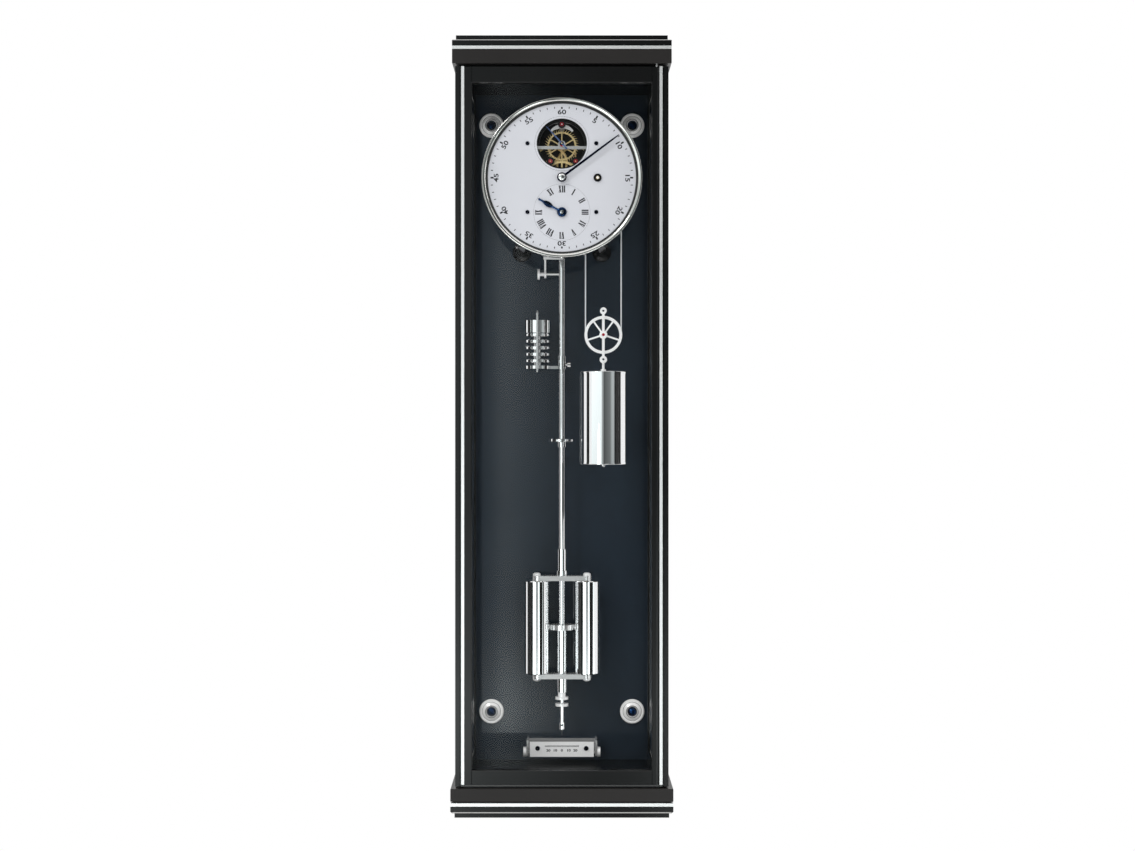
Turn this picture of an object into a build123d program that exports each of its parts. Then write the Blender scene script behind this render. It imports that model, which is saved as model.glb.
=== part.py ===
from build123d import *
from math import atan2, cos, hypot, pi, radians, sin, sqrt
import os

os.makedirs("parts", exist_ok=True)

# Wall regulator clock. Millimetres, +X to the right seen from the front, +Z up. The wall is the
# plane Y = 0 and the front faces -Y. The origin is the centre of the four wall fixings, on the
# wall. A "depth" is a distance forward from the wall, so Y = -depth.

# ---- clearances ----
joint_gap = 0.1        # butt joint between two members of one frame
seat_gap = 0.02        # pressed or glued round seat
pivot_gap = 0.05       # radial running clearance of pivots and shafts
slide_gap = 0.1        # radial clearance of a sleeve that slides on a rod
free_gap = 0.3         # between surfaces that pass each other

# ---- case body ----
space_beside_bezel = 12.5
space_above_bezel = 24.4
side_frame_width = 19.75
hand_to_door = 11.3
board_thickness = 12.0
panel_thickness = 3.0
floor_thickness = 8.0
ceiling_thickness = 10.0
front_post_depth = 16.0
rear_post_depth = 26.0
side_rail_height = 26.0
strip_width = 3.7
strip_depth = 4.0
groove_width = 2.1
groove_depth = 2.0
edge_width = 5.5
side_glass_thickness = 4.0
side_glass_inset = 1.5
lip_depth = 20.0
arris = 0.6            # small chamfer on the outer edges of the case

# ---- crown and base ----
crown_side_overhang = 3.75
crown_overhang = 4.0
crown_gap = 3.0
frieze_height = 18.0
band_height = 4.0
band_width = 4.0
crown_board_height = 7.9
cap_height = 6.0
cap_inset = 4.7
base_side_overhang = 5.75
base_overhang = 6.0
base_gap = 2.0
plinth_height = 16.0
plinth_groove = 2.0
plinth_groove_inset = 3.0
base_board_height = 9.0
base_chamfer = 2.4
foot_height = 6.0
foot_inset = 5.0

# ---- door ----
door_thickness = 11.2
door_back_gap = 0.8
door_side_gap = 0.45
door_top_gap = 0.8
door_bottom_gap = 0.4
sill_height = 1.6
stile_width = 9.1
top_rail_height = 19.7
bottom_rail_height = 18.0
rebate_width = 3.0
door_glass_thickness = 3.0
bead_thickness = 3.0
hinge_inset = 3.0
hinge_pin_radius = 1.25
hinge_pin_in_door = 8.0
hinge_pin_in_case = 6.0

# ---- wall fixings ----
fixing_inset_x = 20.5
fixing_below_ceiling = 40.9
fixing_above_floor = 64.5
fixing_hole_radius = 3.2
rosette_radius = 16.3
rosette_rim_width = 3.6
rosette_rim_height = 2.4
rosette_groove = 0.7
rosette_top_radius = 8.4
rosette_seat_radius = 6.4
rosette_height = 4.6
rosette_seat_height = 3.2
wall_nut_radius = 5.2
wall_nut_height = 5.2
wall_nut_cap = 1.5

# ---- dial and hands ----
dial_thickness = 2.0
bezel_radius = 102.0
bezel_ring_width = 4.8
bezel_step = 1.9               # from the ring's inner edge to the dial's edge
bezel_lip = 1.2
bezel_lip_thickness = 1.2
bezel_depth = 11.0
bezel_behind_dial = 3.0
hand_above_dial = 1.5
seconds_rise = 43.5
hour_drop = 44.0
winding_offset = 45.5
aperture_radius = 32.1
winding_hole_radius = 5.2
dial_screw_spacing = 87.6
dial_screw_radius = 2.6
dial_pillar_radius = 3.5
hand_thickness = 1.0
hand_boss_radius = 6.1
hand_cap_rise = 1.6
minute_hand_to_edge = 4.8
minute_hand_width = 2.8
minute_cap_rise = 3.0
minute_hand_rise = 3.0
minute_hand_bearing = 53.4     # degrees clockwise from twelve
hour_hand_length = 35.0
hour_hand_width = 1.8
pear_width = 6.2
hour_hand_bearing = 299.5
seconds_hand_length = 29.3
seconds_hand_tail = 10.0
seconds_hand_bearing = 317.5

# ---- movement plates ----
rear_plate_depth = 74.0
plate_thickness = 3.0
plate_spacing = 36.0
dial_spacing = 8.0
pillar_inset = 16.0
plate_left = -62.0
plate_right = 80.0
plate_bottom = -62.0
plate_top = 77.0
plate_corner = 24.0
cutout_radius = 29.0
pivot_boss_radius = 5.0
pillar_radius = 4.0
screw_head_radius = 3.0
screw_head_height = 1.8
jewel_radius = 2.6
jewel_thickness = 1.5

# ---- train ----
train_module = 0.6
centre_wheel_teeth = 80
centre_pinion_teeth = 12
third_wheel_teeth = 75
third_pinion_teeth = 10
escape_pinion_teeth = 10
intermediate_wheel_teeth = 84
intermediate_pinion_teeth = 12
great_wheel_teeth = 108
cannon_pinion_teeth = 20
motion_wheel_teeth = 60
motion_pinion_teeth = 15
hour_wheel_teeth = 60
wheel_thickness = 2.0
great_wheel_thickness = 2.5
pinion_extra = 1.0
arbor_radius = 1.2
pivot_radius = 0.8
centre_arbor_radius = 2.0
escape_teeth = 40
escape_radius = 22.0
escape_tooth_height = 3.6
ratchet_radius = 14.0
ratchet_teeth = 24
ratchet_tooth_height = 1.6
click_radius = 2.2
escape_wheel_thickness = 1.2
anchor_span = 67.5             # degrees of the escape wheel between the two pallets
anchor_thickness = 2.0
anchor_band = 3.2
pallet_width = 1.0

# ---- drum, line, pulley and weight ----
line_radius = 0.8
drum_line_radius = 31.0
drum_flange = 2.5
drum_length = 18.5
drum_flange_thickness = 1.5
drum_arbor_radius = 4.0
drum_turns = 7
winding_square = 4.2
pulley_line_radius = 23.0
pulley_radius = 24.3
pulley_rim = 3.6
pulley_thickness = 5.0
pulley_hub_radius = 5.2
line_let_out = 198.7           # pulley centre below the dial centre
pulley_pin_radius = 1.5
strap_width = 3.2
strap_thickness = 1.6
bail_top_rise = 31.0
bail_bottom_drop = 31.6
bail_boss_radius = 4.2
hook_wire_radius = 1.1
bail_tube_radius = 2.1
bail_eye_radius = 1.5
hook_length = 15.9
weight_radius = 29.2
weight_cap_rim = 0.5
weight_cap_height = 2.4
weight_length = 119.4

# ---- pendulum ----
pendulum_depth = 45.0
rod_radius = 4.35
rod_head_radius = 6.0
spring_length = 6.0
spring_half_thickness = 0.15
spring_half_width = 4.0
chop_height = 8.0
chop_half_thickness = 2.2
rod_head_height = 12.0
barometer_offset = 32.2
barometer_below_dial = 241.0
barometer_plate_height = 4.0
capsule_count = 5
capsule_radius = 17.6
capsule_height = 4.4
capsule_pitch = 8.5
barometer_drum_height = 16.4
spindle_radius = 1.6
spindle_rise = 77.0
clamp_height = 17.0
clamp_wall = 1.5
clamp_screw_radius = 1.5
clamp_knob_radius = 4.0
guard_rod_radius = 1.3
table_below_dial = 337.0
table_thickness = 3.8
table_radius = 17.8
table_collar_radius = 6.4
table_collar_height = 6.8
bob_below_dial = 581.2
bob_travel = 1.5               # either way along the rod, by the rating nut
bob_length = 122.6
bob_radius = 17.25
bob_spacing = 66.0
yoke_thickness = 6.4
yoke_width = 22.0
bolt_radius = 2.5
bob_nut_radius = 5.0
bob_nut_height = 3.8
bridge_height = 6.7
bridge_pin_radius = 3.0
bridge_pin_length = 6.0
tube_radius = 6.8
tube_below_yoke = 18.0
sleeve_radius = 6.15
sleeve_height = 28.0
sleeve_collar_radius = 7.7
sleeve_collar_height = 6.8
nut_hub_radius = 5.0
nut_hub_height = 6.4
rating_nut_radius = 8.5
rating_nut_height = 3.4
nut_spacing = 5.4
thread_radius = 2.5
thread_below_nut = 21.5
tip_radius = 3.7
tip_height = 9.0
tip_cone = 8.0

# ---- crutch and beat screw ----
cock_to_rod_head = 6.0
cock_thickness = 3.0
cock_above_pivot = 16.0
cock_below_pivot = 14.0
crutch_width = 4.0
crutch_thickness = 2.0
crutch_arm_below_dial = 96.4
crutch_arm_offset = 22.0
beat_screw_below_dial = 116.0
beat_screw_radius = 1.25
beat_knob_radius = 7.2
beat_knob_offset = 30.6
beat_knob_width = 2.9
eye_radius = 5.1
eye_width = 2.7

# ---- beat scale ----
scale_half_length = 42.2
scale_below_tip = 9.0
scale_above_floor = 9.4
scale_height = 19.6
scale_thickness = 3.0
scale_travel = 1.5
scale_screw_offset = 32.0
scale_screw_rise = 11.3
scale_screw_radius = 1.2
arm_thickness = 2.5
spindle_rise_in_scale = 5.6
scale_spindle_radius = 1.5
thumb_radius = 6.6
thumb_width = 4.0

# ---- movement bracket ----
bracket_thickness = 5.0
bracket_inner = 36.0
bracket_outer = 62.0
bracket_bottom = -82.0
bracket_top = 80.0
bracket_bar_height = 12.0
bracket_post_x = 42.0
bracket_post_z = 50.0
bracket_post_radius = 6.0
bracket_boss_radius = 12.5
bracket_boss_x = 53.5
bracket_boss_z = 84.5
bracket_boss_rise = 1.6
bracket_column_radius = 6.2
bracket_column_length = 26.0
bracket_screw_radius = 2.5
bracket_screw_head = 3.0

# ---- worked out: heights, from the stack of dial, pendulum and beat scale ----
dial_to_floor = (
    bob_below_dial
    + bob_length / 2
    + yoke_thickness
    + tube_below_yoke
    + nut_hub_height
    + 2 * rating_nut_height
    + nut_spacing
    + thread_below_nut
    + tip_height
    + tip_cone
    + scale_below_tip
    + scale_height
    + scale_above_floor
)
interior_height = space_above_bezel + bezel_radius + dial_to_floor
fixing_spacing_z = interior_height - fixing_below_ceiling - fixing_above_floor
ceiling_bottom = fixing_spacing_z / 2 + fixing_below_ceiling
floor_top = ceiling_bottom - interior_height
dial_height = floor_top + dial_to_floor

# ---- worked out: dial ----
dial_radius = bezel_radius - bezel_ring_width - bezel_step
minute_hand_length = dial_radius - minute_hand_to_edge

# ---- worked out: depths of the movement and the case ----
cock_back = pendulum_depth + rod_head_radius + cock_to_rod_head
cock_front = cock_back + cock_thickness
crutch_depth = (cock_front + rear_plate_depth) / 2
rear_plate_front = rear_plate_depth + plate_thickness
front_plate_back = rear_plate_front + plate_spacing
front_plate_front = front_plate_back + plate_thickness
dial_back = front_plate_front + dial_spacing
dial_front = dial_back + dial_thickness
hour_hand_depth = dial_front + hand_above_dial
minute_hand_depth = hour_hand_depth + minute_hand_rise
hour_arbor_front = hour_hand_depth + 1.5 * hand_thickness
centre_arbor_front = minute_hand_depth + 2 * hand_thickness
door_back = minute_hand_depth + hand_thickness + hand_to_door
body_depth = door_back + door_thickness

# ---- worked out: case ----
interior_half = bezel_radius + space_beside_bezel
fixing_spacing_x = 2 * (interior_half - fixing_inset_x)
body_half = interior_half + side_frame_width
body_bottom = floor_top - floor_thickness
body_top = ceiling_bottom + ceiling_thickness
lip_inner = body_half - strip_width - groove_width - edge_width
shoulder_depth = door_back - door_back_gap
window_front = shoulder_depth - front_post_depth
frieze_bottom = body_top + crown_gap
plinth_top = body_bottom - base_gap
panel_front = board_thickness + panel_thickness
crown_front = body_depth + crown_overhang
base_front = body_depth + base_overhang
door_half = lip_inner - door_side_gap
door_bottom = body_bottom + sill_height + door_bottom_gap
door_top = body_top - door_top_gap
opening_half = door_half - stile_width
opening_bottom = door_bottom + bottom_rail_height
opening_top = door_top - top_rail_height
hinge_x = door_half - hinge_inset
hinge_depth = body_depth - hinge_inset

# ---- worked out: movement ----
intermediate_layer = rear_plate_front + 2.0
great_layer = intermediate_layer + wheel_thickness + 2.5
ratchet_layer = great_layer + great_wheel_thickness + 0.6
ratchet_thickness = 1.6
drum_layer = ratchet_layer + ratchet_thickness + free_gap
centre_layer = front_plate_back - 2.0 - wheel_thickness
escape_layer = front_plate_back - 7.8 - escape_wheel_thickness
third_layer = escape_layer - 4.0 - wheel_thickness
motion_layer = front_plate_front + 0.6
hour_layer = motion_layer + wheel_thickness + 1.0
weight_depth = drum_layer + drum_length / 2

# ---- worked out: line and weight ----
fall_x = winding_offset + drum_line_radius
pulley_x = fall_x - pulley_line_radius
return_x = pulley_x - pulley_line_radius
pulley_height = dial_height - line_let_out
bail_top = pulley_height + bail_top_rise
bail_bottom = pulley_height - bail_bottom_drop
strap_offset = pulley_thickness / 2 + 1.0 + free_gap
weight_top = bail_bottom - hook_length

# ---- worked out: pendulum ----
swing_height = dial_height + seconds_rise + escape_radius / cos(radians(anchor_span / 2))
chop_top = swing_height - spring_length
rod_top = chop_top - chop_height
barometer_base = dial_height - barometer_below_dial
table_height = dial_height - table_below_dial
bob_centre = dial_height - bob_below_dial
bob_top = bob_centre + bob_length / 2
bob_bottom = bob_centre - bob_length / 2
bob_offset = bob_spacing / 2
bridge_radius = bob_offset - bob_radius - 0.15
yoke_half = bob_offset + bob_nut_radius + 1.0
tube_bottom = bob_bottom - yoke_thickness - tube_below_yoke
tube_top = bob_centre - bridge_height / 2
nut_top = tube_bottom
nut_disc_top = nut_top - nut_hub_height
lock_nut_top = nut_disc_top - rating_nut_height - nut_spacing
thread_bottom = lock_nut_top - rating_nut_height - thread_below_nut
thread_top = nut_top + bob_travel + free_gap
tip_bottom = thread_bottom - tip_height
crutch_arm_height = dial_height - crutch_arm_below_dial
beat_screw_height = dial_height - beat_screw_below_dial
scale_bottom = floor_top + scale_above_floor
scale_screw_height = scale_bottom + scale_screw_rise
spindle_height = scale_bottom + spindle_rise_in_scale


def meeting_point(start, end, from_start, from_end, side):
    """Point at two given distances from two centres, left (+1) or right (-1) of their line."""
    run_x, run_z = end[0] - start[0], end[1] - start[1]
    span = hypot(run_x, run_z)
    along = (span**2 + from_start**2 - from_end**2) / (2 * span)
    across = side * sqrt(from_start**2 - along**2)
    return (
        start[0] + (along * run_x - across * run_z) / span,
        start[1] + (along * run_z + across * run_x) / span,
    )


def reach(teeth, mate_teeth):
    """Distance between the axes of two gears in mesh."""
    return (teeth + mate_teeth) * train_module / 2


def mesh_phase(centre, teeth, phase, mate_centre, mate_teeth):
    """Angle of a tooth of the mate that leaves it in mesh with the first gear."""
    line = atan2(mate_centre[1] - centre[1], mate_centre[0] - centre[0])
    past_tooth = (line - phase) * teeth / (2 * pi)
    return line + pi - 2 * pi * (0.5 - past_tooth) / mate_teeth


centre = (0.0, dial_height)
seconds_centre = (0.0, dial_height + seconds_rise)
hour_centre = (0.0, dial_height - hour_drop)
drum_centre = (winding_offset, dial_height)
pallet_centre = (0.0, swing_height)
third_centre = meeting_point(
    centre,
    seconds_centre,
    reach(centre_wheel_teeth, third_pinion_teeth),
    reach(third_wheel_teeth, escape_pinion_teeth),
    1,
)
intermediate_centre = meeting_point(
    centre,
    drum_centre,
    reach(intermediate_wheel_teeth, centre_pinion_teeth),
    reach(great_wheel_teeth, intermediate_pinion_teeth),
    1,
)
motion_centre = meeting_point(
    centre,
    hour_centre,
    reach(cannon_pinion_teeth, motion_wheel_teeth),
    reach(motion_pinion_teeth, hour_wheel_teeth),
    -1,
)
intermediate_phase = mesh_phase(
    centre, centre_pinion_teeth, 0, intermediate_centre, intermediate_wheel_teeth
)
great_phase = mesh_phase(
    intermediate_centre, intermediate_pinion_teeth, 0, drum_centre, great_wheel_teeth
)
third_phase = mesh_phase(centre, centre_wheel_teeth, 0, third_centre, third_pinion_teeth)
escape_phase = mesh_phase(
    third_centre, third_wheel_teeth, 0, seconds_centre, escape_pinion_teeth
)
motion_phase = mesh_phase(centre, cannon_pinion_teeth, 0, motion_centre, motion_wheel_teeth)
hour_phase = mesh_phase(motion_centre, motion_pinion_teeth, 0, hour_centre, hour_wheel_teeth)

pillar_centres = [
    (plate_left + 10, dial_height + plate_bottom + 10),
    (plate_right - pillar_inset, dial_height + plate_bottom + 12),
    (plate_left + 12, dial_height + plate_top - 13),
    (plate_right - pillar_inset, dial_height + plate_top - 15),
    (return_x, dial_height + plate_bottom + 10),
]
dial_pillar_centres = [
    (side * dial_screw_spacing / 2, dial_height + rise * dial_screw_spacing / 2)
    for side in (-1, 1)
    for rise in (-1, 1)
]
post_centres = [
    (side * bracket_post_x, dial_height + rise * bracket_post_z)
    for side in (-1, 1)
    for rise in (-1, 1)
]
bracket_bosses = [
    (side * bracket_boss_x, dial_height + rise)
    for side in (-1, 1)
    for rise in (-bracket_boss_z, bracket_top - bracket_boss_radius)
]
fixings = [
    (side * fixing_spacing_x / 2, rise * fixing_spacing_z / 2)
    for side in (-1, 1)
    for rise in (-1, 1)
]


def block(xs, depths, heights, mode=Mode.ADD):
    """Add or cut a block between low and high values of X, depth and height."""
    middle = (sum(xs) / 2, -sum(depths) / 2, sum(heights) / 2)
    with Locations(middle):
        Box(xs[1] - xs[0], depths[1] - depths[0], heights[1] - heights[0], mode=mode)


def rod_x(xs, depth, height, radius, mode=Mode.ADD):
    """Add or cut a round rod along X."""
    with BuildSketch(Plane.YZ.offset(xs[0])) as section:
        with Locations((-depth, height)):
            Circle(radius)
    extrude(section.sketch, amount=xs[1] - xs[0], mode=mode)


def rod_y(centre_point, depths, radius, mode=Mode.ADD):
    """Add or cut a round rod along Y, centred on an (x, z) point."""
    with BuildSketch(Plane.XZ.offset(depths[0])) as section:
        with Locations(centre_point):
            Circle(radius)
    extrude(section.sketch, amount=depths[1] - depths[0], mode=mode)


def rod_z(x, depth, heights, radius, mode=Mode.ADD):
    """Add or cut an upright round rod."""
    with BuildSketch(Plane.XY.offset(heights[0])) as section:
        with Locations((x, -depth)):
            Circle(radius)
    extrude(section.sketch, amount=heights[1] - heights[0], mode=mode)


def turned_y(centre_point, profile_points, mode=Mode.ADD):
    """Add or cut a turned shape about an axis along Y, from (radius, depth) points."""
    turning_plane = Plane(origin=(centre_point[0], 0, centre_point[1]), z_dir=(0, 0, 1))
    with BuildSketch(turning_plane) as section:
        with BuildLine():
            Polyline(*[(radius, -depth) for radius, depth in profile_points], close=True)
        make_face()
    axis = Axis((centre_point[0], 0, centre_point[1]), (0, 1, 0))
    revolve(section.sketch, axis, 360, mode=mode)


def turned_z(x, depth, profile_points, mode=Mode.ADD):
    """Add or cut a turned shape about an upright axis, from (radius, height) points."""
    with BuildSketch(Plane.XZ.offset(depth)) as section:
        with BuildLine():
            Polyline(*[(x + radius, height) for radius, height in profile_points], close=True)
        make_face()
    revolve(section.sketch, Axis((x, -depth, 0), (0, 0, 1)), 360, mode=mode)


def polar(centre_point, radius, angle):
    """Point at a radius and an angle in radians from a centre."""
    return (centre_point[0] + radius * cos(angle), centre_point[1] + radius * sin(angle))


def tooth_outline(centre_point, teeth, phase, is_pinion):
    """Outline of a gear with straight-sided teeth, thin enough to run free in its mate."""
    pitch_radius = teeth * train_module / 2
    pitch_share, tip_share = (0.34, 0.14) if is_pinion else (0.40, 0.16)
    addendum, dedendum = (0.75, 1.3) if is_pinion else (0.85, 1.15)
    tip = pitch_radius + addendum * train_module
    root = pitch_radius - dedendum * train_module
    half_pitch_tooth = pitch_share * pi / teeth
    half_tip = tip_share * pi / teeth
    corners = (
        (root, -half_pitch_tooth),
        (pitch_radius, -half_pitch_tooth),
        (tip, -half_tip),
        (tip, half_tip),
        (pitch_radius, half_pitch_tooth),
        (root, half_pitch_tooth),
    )
    return [
        polar(centre_point, radius, phase + 2 * pi * tooth / teeth + turn)
        for tooth in range(teeth)
        for radius, turn in corners
    ]


def pinion(centre_point, depths, teeth, phase):
    """Add a solid pinion."""
    with BuildSketch(Plane.XZ.offset(depths[0])) as section:
        with BuildLine():
            Polyline(*tooth_outline(centre_point, teeth, phase, True), close=True)
        make_face()
    extrude(section.sketch, amount=depths[1] - depths[0])


def wheel(centre_point, depths, outline, rim_radius, hub_radius, spokes, spoke_width):
    """Add a wheel with the given toothed outline, a rim, spokes and a hub."""
    with BuildSketch(Plane.XZ.offset(depths[0])) as section:
        with BuildLine():
            Polyline(*outline, close=True)
        make_face()
        with Locations(centre_point):
            Circle(rim_radius, mode=Mode.SUBTRACT)
            Circle(hub_radius)
            with PolarLocations((rim_radius + hub_radius) / 2, spokes, start_angle=90):
                Rectangle(rim_radius - hub_radius + 1.0, spoke_width)
    extrude(section.sketch, amount=depths[1] - depths[0])


def train_wheel(centre_point, depth, thickness, teeth, phase, hub_radius=4.0, spokes=5):
    """Add a spoked train wheel of the train's module."""
    rim_radius = teeth * train_module / 2 - 3.0
    outline = tooth_outline(centre_point, teeth, phase, False)
    wheel(centre_point, (depth, depth + thickness), outline, rim_radius, hub_radius, spokes, 2.0)


def plate_arbor(centre_point, front_end=None):
    """Add an arbor with a pivot in each plate, or with its front end at a given depth."""
    pivot_in_plate = plate_thickness - 0.5
    rod_y(centre_point, (rear_plate_front - pivot_in_plate, rear_plate_front + 1), pivot_radius)
    rod_y(centre_point, (rear_plate_front + 0.4, front_plate_back - 0.4), arbor_radius)
    last = front_plate_back + pivot_in_plate if front_end is None else front_end
    rod_y(centre_point, (front_plate_back - 1, last), pivot_radius)


def hand_plane(centre_point, depth, bearing):
    """Plane on a dial with its Y axis along the hand and its normal towards the front."""
    turn = radians(bearing)
    return Plane(
        origin=(centre_point[0], -depth, centre_point[1]),
        x_dir=(cos(turn), 0, -sin(turn)),
        z_dir=(0, -1, 0),
    )


def soften(piece, levels, size=arris):
    """Chamfer the front and side edges of a board, at its lowest (0) or highest (-1) level."""
    for level in levels:
        rim = piece.edges().filter_by(Axis.Z, reverse=True).group_by(Axis.Z)[level]
        visible = rim.filter_by(Axis.Y) + rim.filter_by(Axis.X).sort_by(Axis.Y)[:1]
        chamfer(visible, size)


def keep(piece, name):
    """Label a finished piece and write it as a STEP file of its own."""
    piece.part.label = name
    export_step(piece.part, f"parts/{name}.step")


# ---- case: back ----
with BuildPart() as back_board:
    block(
        (-interior_half + joint_gap, interior_half - joint_gap),
        (0, board_thickness),
        (floor_top + joint_gap, ceiling_bottom - joint_gap),
    )
    for fixing in fixings:
        rod_y(fixing, (0, board_thickness), fixing_hole_radius, Mode.SUBTRACT)
    for boss in bracket_bosses:
        rod_y(
            boss,
            (board_thickness / 3, board_thickness),
            bracket_screw_radius + seat_gap,
            Mode.SUBTRACT,
        )
keep(back_board, "back_board")

with BuildPart() as back_panel:
    block(
        (-interior_half + joint_gap, interior_half - joint_gap),
        (board_thickness, panel_front),
        (floor_top + joint_gap, ceiling_bottom - joint_gap),
    )
    for fixing in fixings:
        rod_y(fixing, (board_thickness, panel_front), fixing_hole_radius, Mode.SUBTRACT)
    for boss in bracket_bosses:
        rod_y(
            boss, (board_thickness, panel_front), bracket_screw_radius + seat_gap, Mode.SUBTRACT
        )
keep(back_panel, "back_panel")

# ---- case: side frames, each of two posts and two rails ----
for side, name in ((-1, "side_frame_left"), (1, "side_frame_right")):
    with BuildPart() as side_frame:
        with BuildSketch(Plane.XY.offset(body_bottom)) as post_section:
            with BuildLine():
                Polyline(
                    (side * interior_half, -window_front),
                    (side * interior_half, -shoulder_depth),
                    (side * lip_inner, -shoulder_depth),
                    (side * lip_inner, -(body_depth - strip_depth)),
                    (side * (lip_inner + strip_width), -(body_depth - strip_depth)),
                    (side * (lip_inner + strip_width), -(body_depth - groove_depth)),
                    (side * (body_half - edge_width), -(body_depth - groove_depth)),
                    (side * (body_half - edge_width), -body_depth),
                    (side * body_half, -body_depth),
                    (side * body_half, -window_front),
                    close=True,
                )
            make_face()
        extrude(post_section.sketch, amount=body_top - body_bottom)
        frame_xs = sorted((side * interior_half, side * body_half))
        block(frame_xs, (0, rear_post_depth), (body_bottom, body_top))
        rail_depths = (rear_post_depth + joint_gap, window_front - joint_gap)
        block(frame_xs, rail_depths, (body_top - side_rail_height, body_top))
        block(frame_xs, rail_depths, (body_bottom, body_bottom + side_rail_height))
    keep(side_frame, name)

with BuildPart() as side_glasses:
    for side in (-1, 1):
        glass_inner = interior_half + side_glass_inset
        block(
            sorted((side * glass_inner, side * (glass_inner + side_glass_thickness))),
            (rear_post_depth + 2 * joint_gap, window_front - 2 * joint_gap),
            (
                body_bottom + side_rail_height + 2 * joint_gap,
                body_top - side_rail_height - 2 * joint_gap,
            ),
        )
keep(side_glasses, "side_glasses")

# ---- case: floor and ceiling boards; a lip under the door carries the sill strip ----
with BuildPart() as floor_and_ceiling:
    board_xs = (-interior_half + joint_gap, interior_half - joint_gap)
    block(board_xs, (0, shoulder_depth - joint_gap), (plinth_top, floor_top))
    block(
        (-lip_inner + joint_gap, lip_inner - joint_gap),
        (shoulder_depth - lip_depth, body_depth - 1),
        (plinth_top, body_bottom),
    )
    rod_z(
        hinge_x,
        hinge_depth,
        (plinth_top, body_bottom),
        hinge_pin_radius + pivot_gap,
        Mode.SUBTRACT,
    )
    block(board_xs, (0, shoulder_depth - joint_gap), (ceiling_bottom, frieze_bottom))
keep(floor_and_ceiling, "floor_and_ceiling")

# ---- crown ----
frieze_top = frieze_bottom + frieze_height
band_top = frieze_top + band_height
board_top = band_top + crown_board_height
crown_half = body_half + crown_side_overhang
with BuildPart() as crown_frieze:
    block((-crown_half, crown_half), (0, crown_front), (frieze_bottom, frieze_top))
    soften(crown_frieze, (0, -1))
    rod_z(
        hinge_x,
        hinge_depth,
        (frieze_bottom, frieze_bottom + hinge_pin_in_case),
        hinge_pin_radius + seat_gap,
        Mode.SUBTRACT,
    )
keep(crown_frieze, "crown_frieze")

with BuildPart() as crown_boards:
    block((-crown_half, crown_half), (0, crown_front), (band_top, board_top))
    soften(crown_boards, (-1,), 2 * arris)
    core_half = crown_half - band_width - joint_gap
    block((-core_half, core_half), (0, crown_front - band_width - joint_gap), (frieze_top, band_top))
    cap_half = crown_half - cap_inset
    block(
        (-cap_half, cap_half), (0, crown_front - cap_inset), (board_top + 0.01, board_top + cap_height)
    )
keep(crown_boards, "crown_boards")

# ---- base ----
plinth_bottom = plinth_top - plinth_height
base_band_top = plinth_bottom - plinth_groove
base_band_bottom = base_band_top - band_height
base_board_bottom = base_band_bottom - base_board_height
base_half = body_half + base_side_overhang
with BuildPart() as base_plinth:
    block((-base_half, base_half), (0, base_front), (plinth_bottom, plinth_top))
    soften(base_plinth, (0, -1))
    tongue_half = base_half - plinth_groove_inset
    block(
        (-tongue_half, tongue_half),
        (0, base_front - plinth_groove_inset),
        (base_band_top, plinth_bottom),
    )
    rod_z(
        hinge_x,
        hinge_depth,
        (plinth_top - hinge_pin_in_case, plinth_top),
        hinge_pin_radius + seat_gap,
        Mode.SUBTRACT,
    )
keep(base_plinth, "base_plinth")

with BuildPart() as base_boards:
    block((-base_half, base_half), (0, base_front), (base_board_bottom, base_band_bottom))
    soften(base_boards, (0,), base_chamfer)
    core_half = base_half - band_width - joint_gap
    block(
        (-core_half, core_half),
        (0, base_front - band_width - joint_gap),
        (base_band_bottom, base_band_top),
    )
    foot_half = base_half - foot_inset
    block(
        (-foot_half, foot_half),
        (0, base_front - foot_inset),
        (base_board_bottom - foot_height, base_board_bottom - 0.01),
    )
keep(base_boards, "base_boards")

# ---- polished steel inlays ----
with BuildPart() as steel_inlays:
    for side in (-1, 1):
        strip_xs = sorted((side * lip_inner, side * (lip_inner + strip_width)))
        block(strip_xs, (body_depth - strip_depth, body_depth + 0.2), (body_bottom, body_top))
    sill_half = lip_inner - joint_gap
    block(
        (-sill_half, sill_half), (door_back + 4, body_depth - 1), (body_bottom, body_bottom + sill_height)
    )
    rod_z(
        hinge_x,
        hinge_depth,
        (body_bottom, body_bottom + sill_height),
        hinge_pin_radius + pivot_gap,
        Mode.SUBTRACT,
    )
    for half, front, bottom in (
        (crown_half, crown_front, frieze_top),
        (base_half, base_front, base_band_bottom),
    ):
        heights = (bottom, bottom + band_height)
        block((-half, half), (front - band_width, front), heights)
        for side in (-1, 1):
            block(sorted((side * (half - band_width), side * half)), (0, front - band_width), heights)
keep(steel_inlays, "steel_inlays")

# ---- wall fixings: conical rosettes and domed cap nuts over the wall studs ----
rosette_top = panel_front + rosette_height
seat_depth = panel_front + rosette_seat_height
rim_inner = rosette_radius - rosette_rim_width
with BuildPart() as wall_rosettes:
    for fixing in fixings:
        turned_y(
            fixing,
            (
                (fixing_hole_radius, panel_front),
                (rosette_radius, panel_front),
                (rosette_radius, panel_front + rosette_rim_height / 2),
                (rosette_radius - rosette_rim_height / 2, panel_front + rosette_rim_height),
                (rim_inner, panel_front + rosette_rim_height),
                (rim_inner - rosette_groove / 2, panel_front + rosette_rim_height - rosette_groove),
                (rim_inner - rosette_groove, panel_front + rosette_rim_height),
                (rosette_top_radius, rosette_top),
                (rosette_top_radius - rosette_groove, rosette_top),
                (rosette_seat_radius, seat_depth),
                (fixing_hole_radius, seat_depth),
            ),
        )
keep(wall_rosettes, "wall_rosettes")

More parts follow.
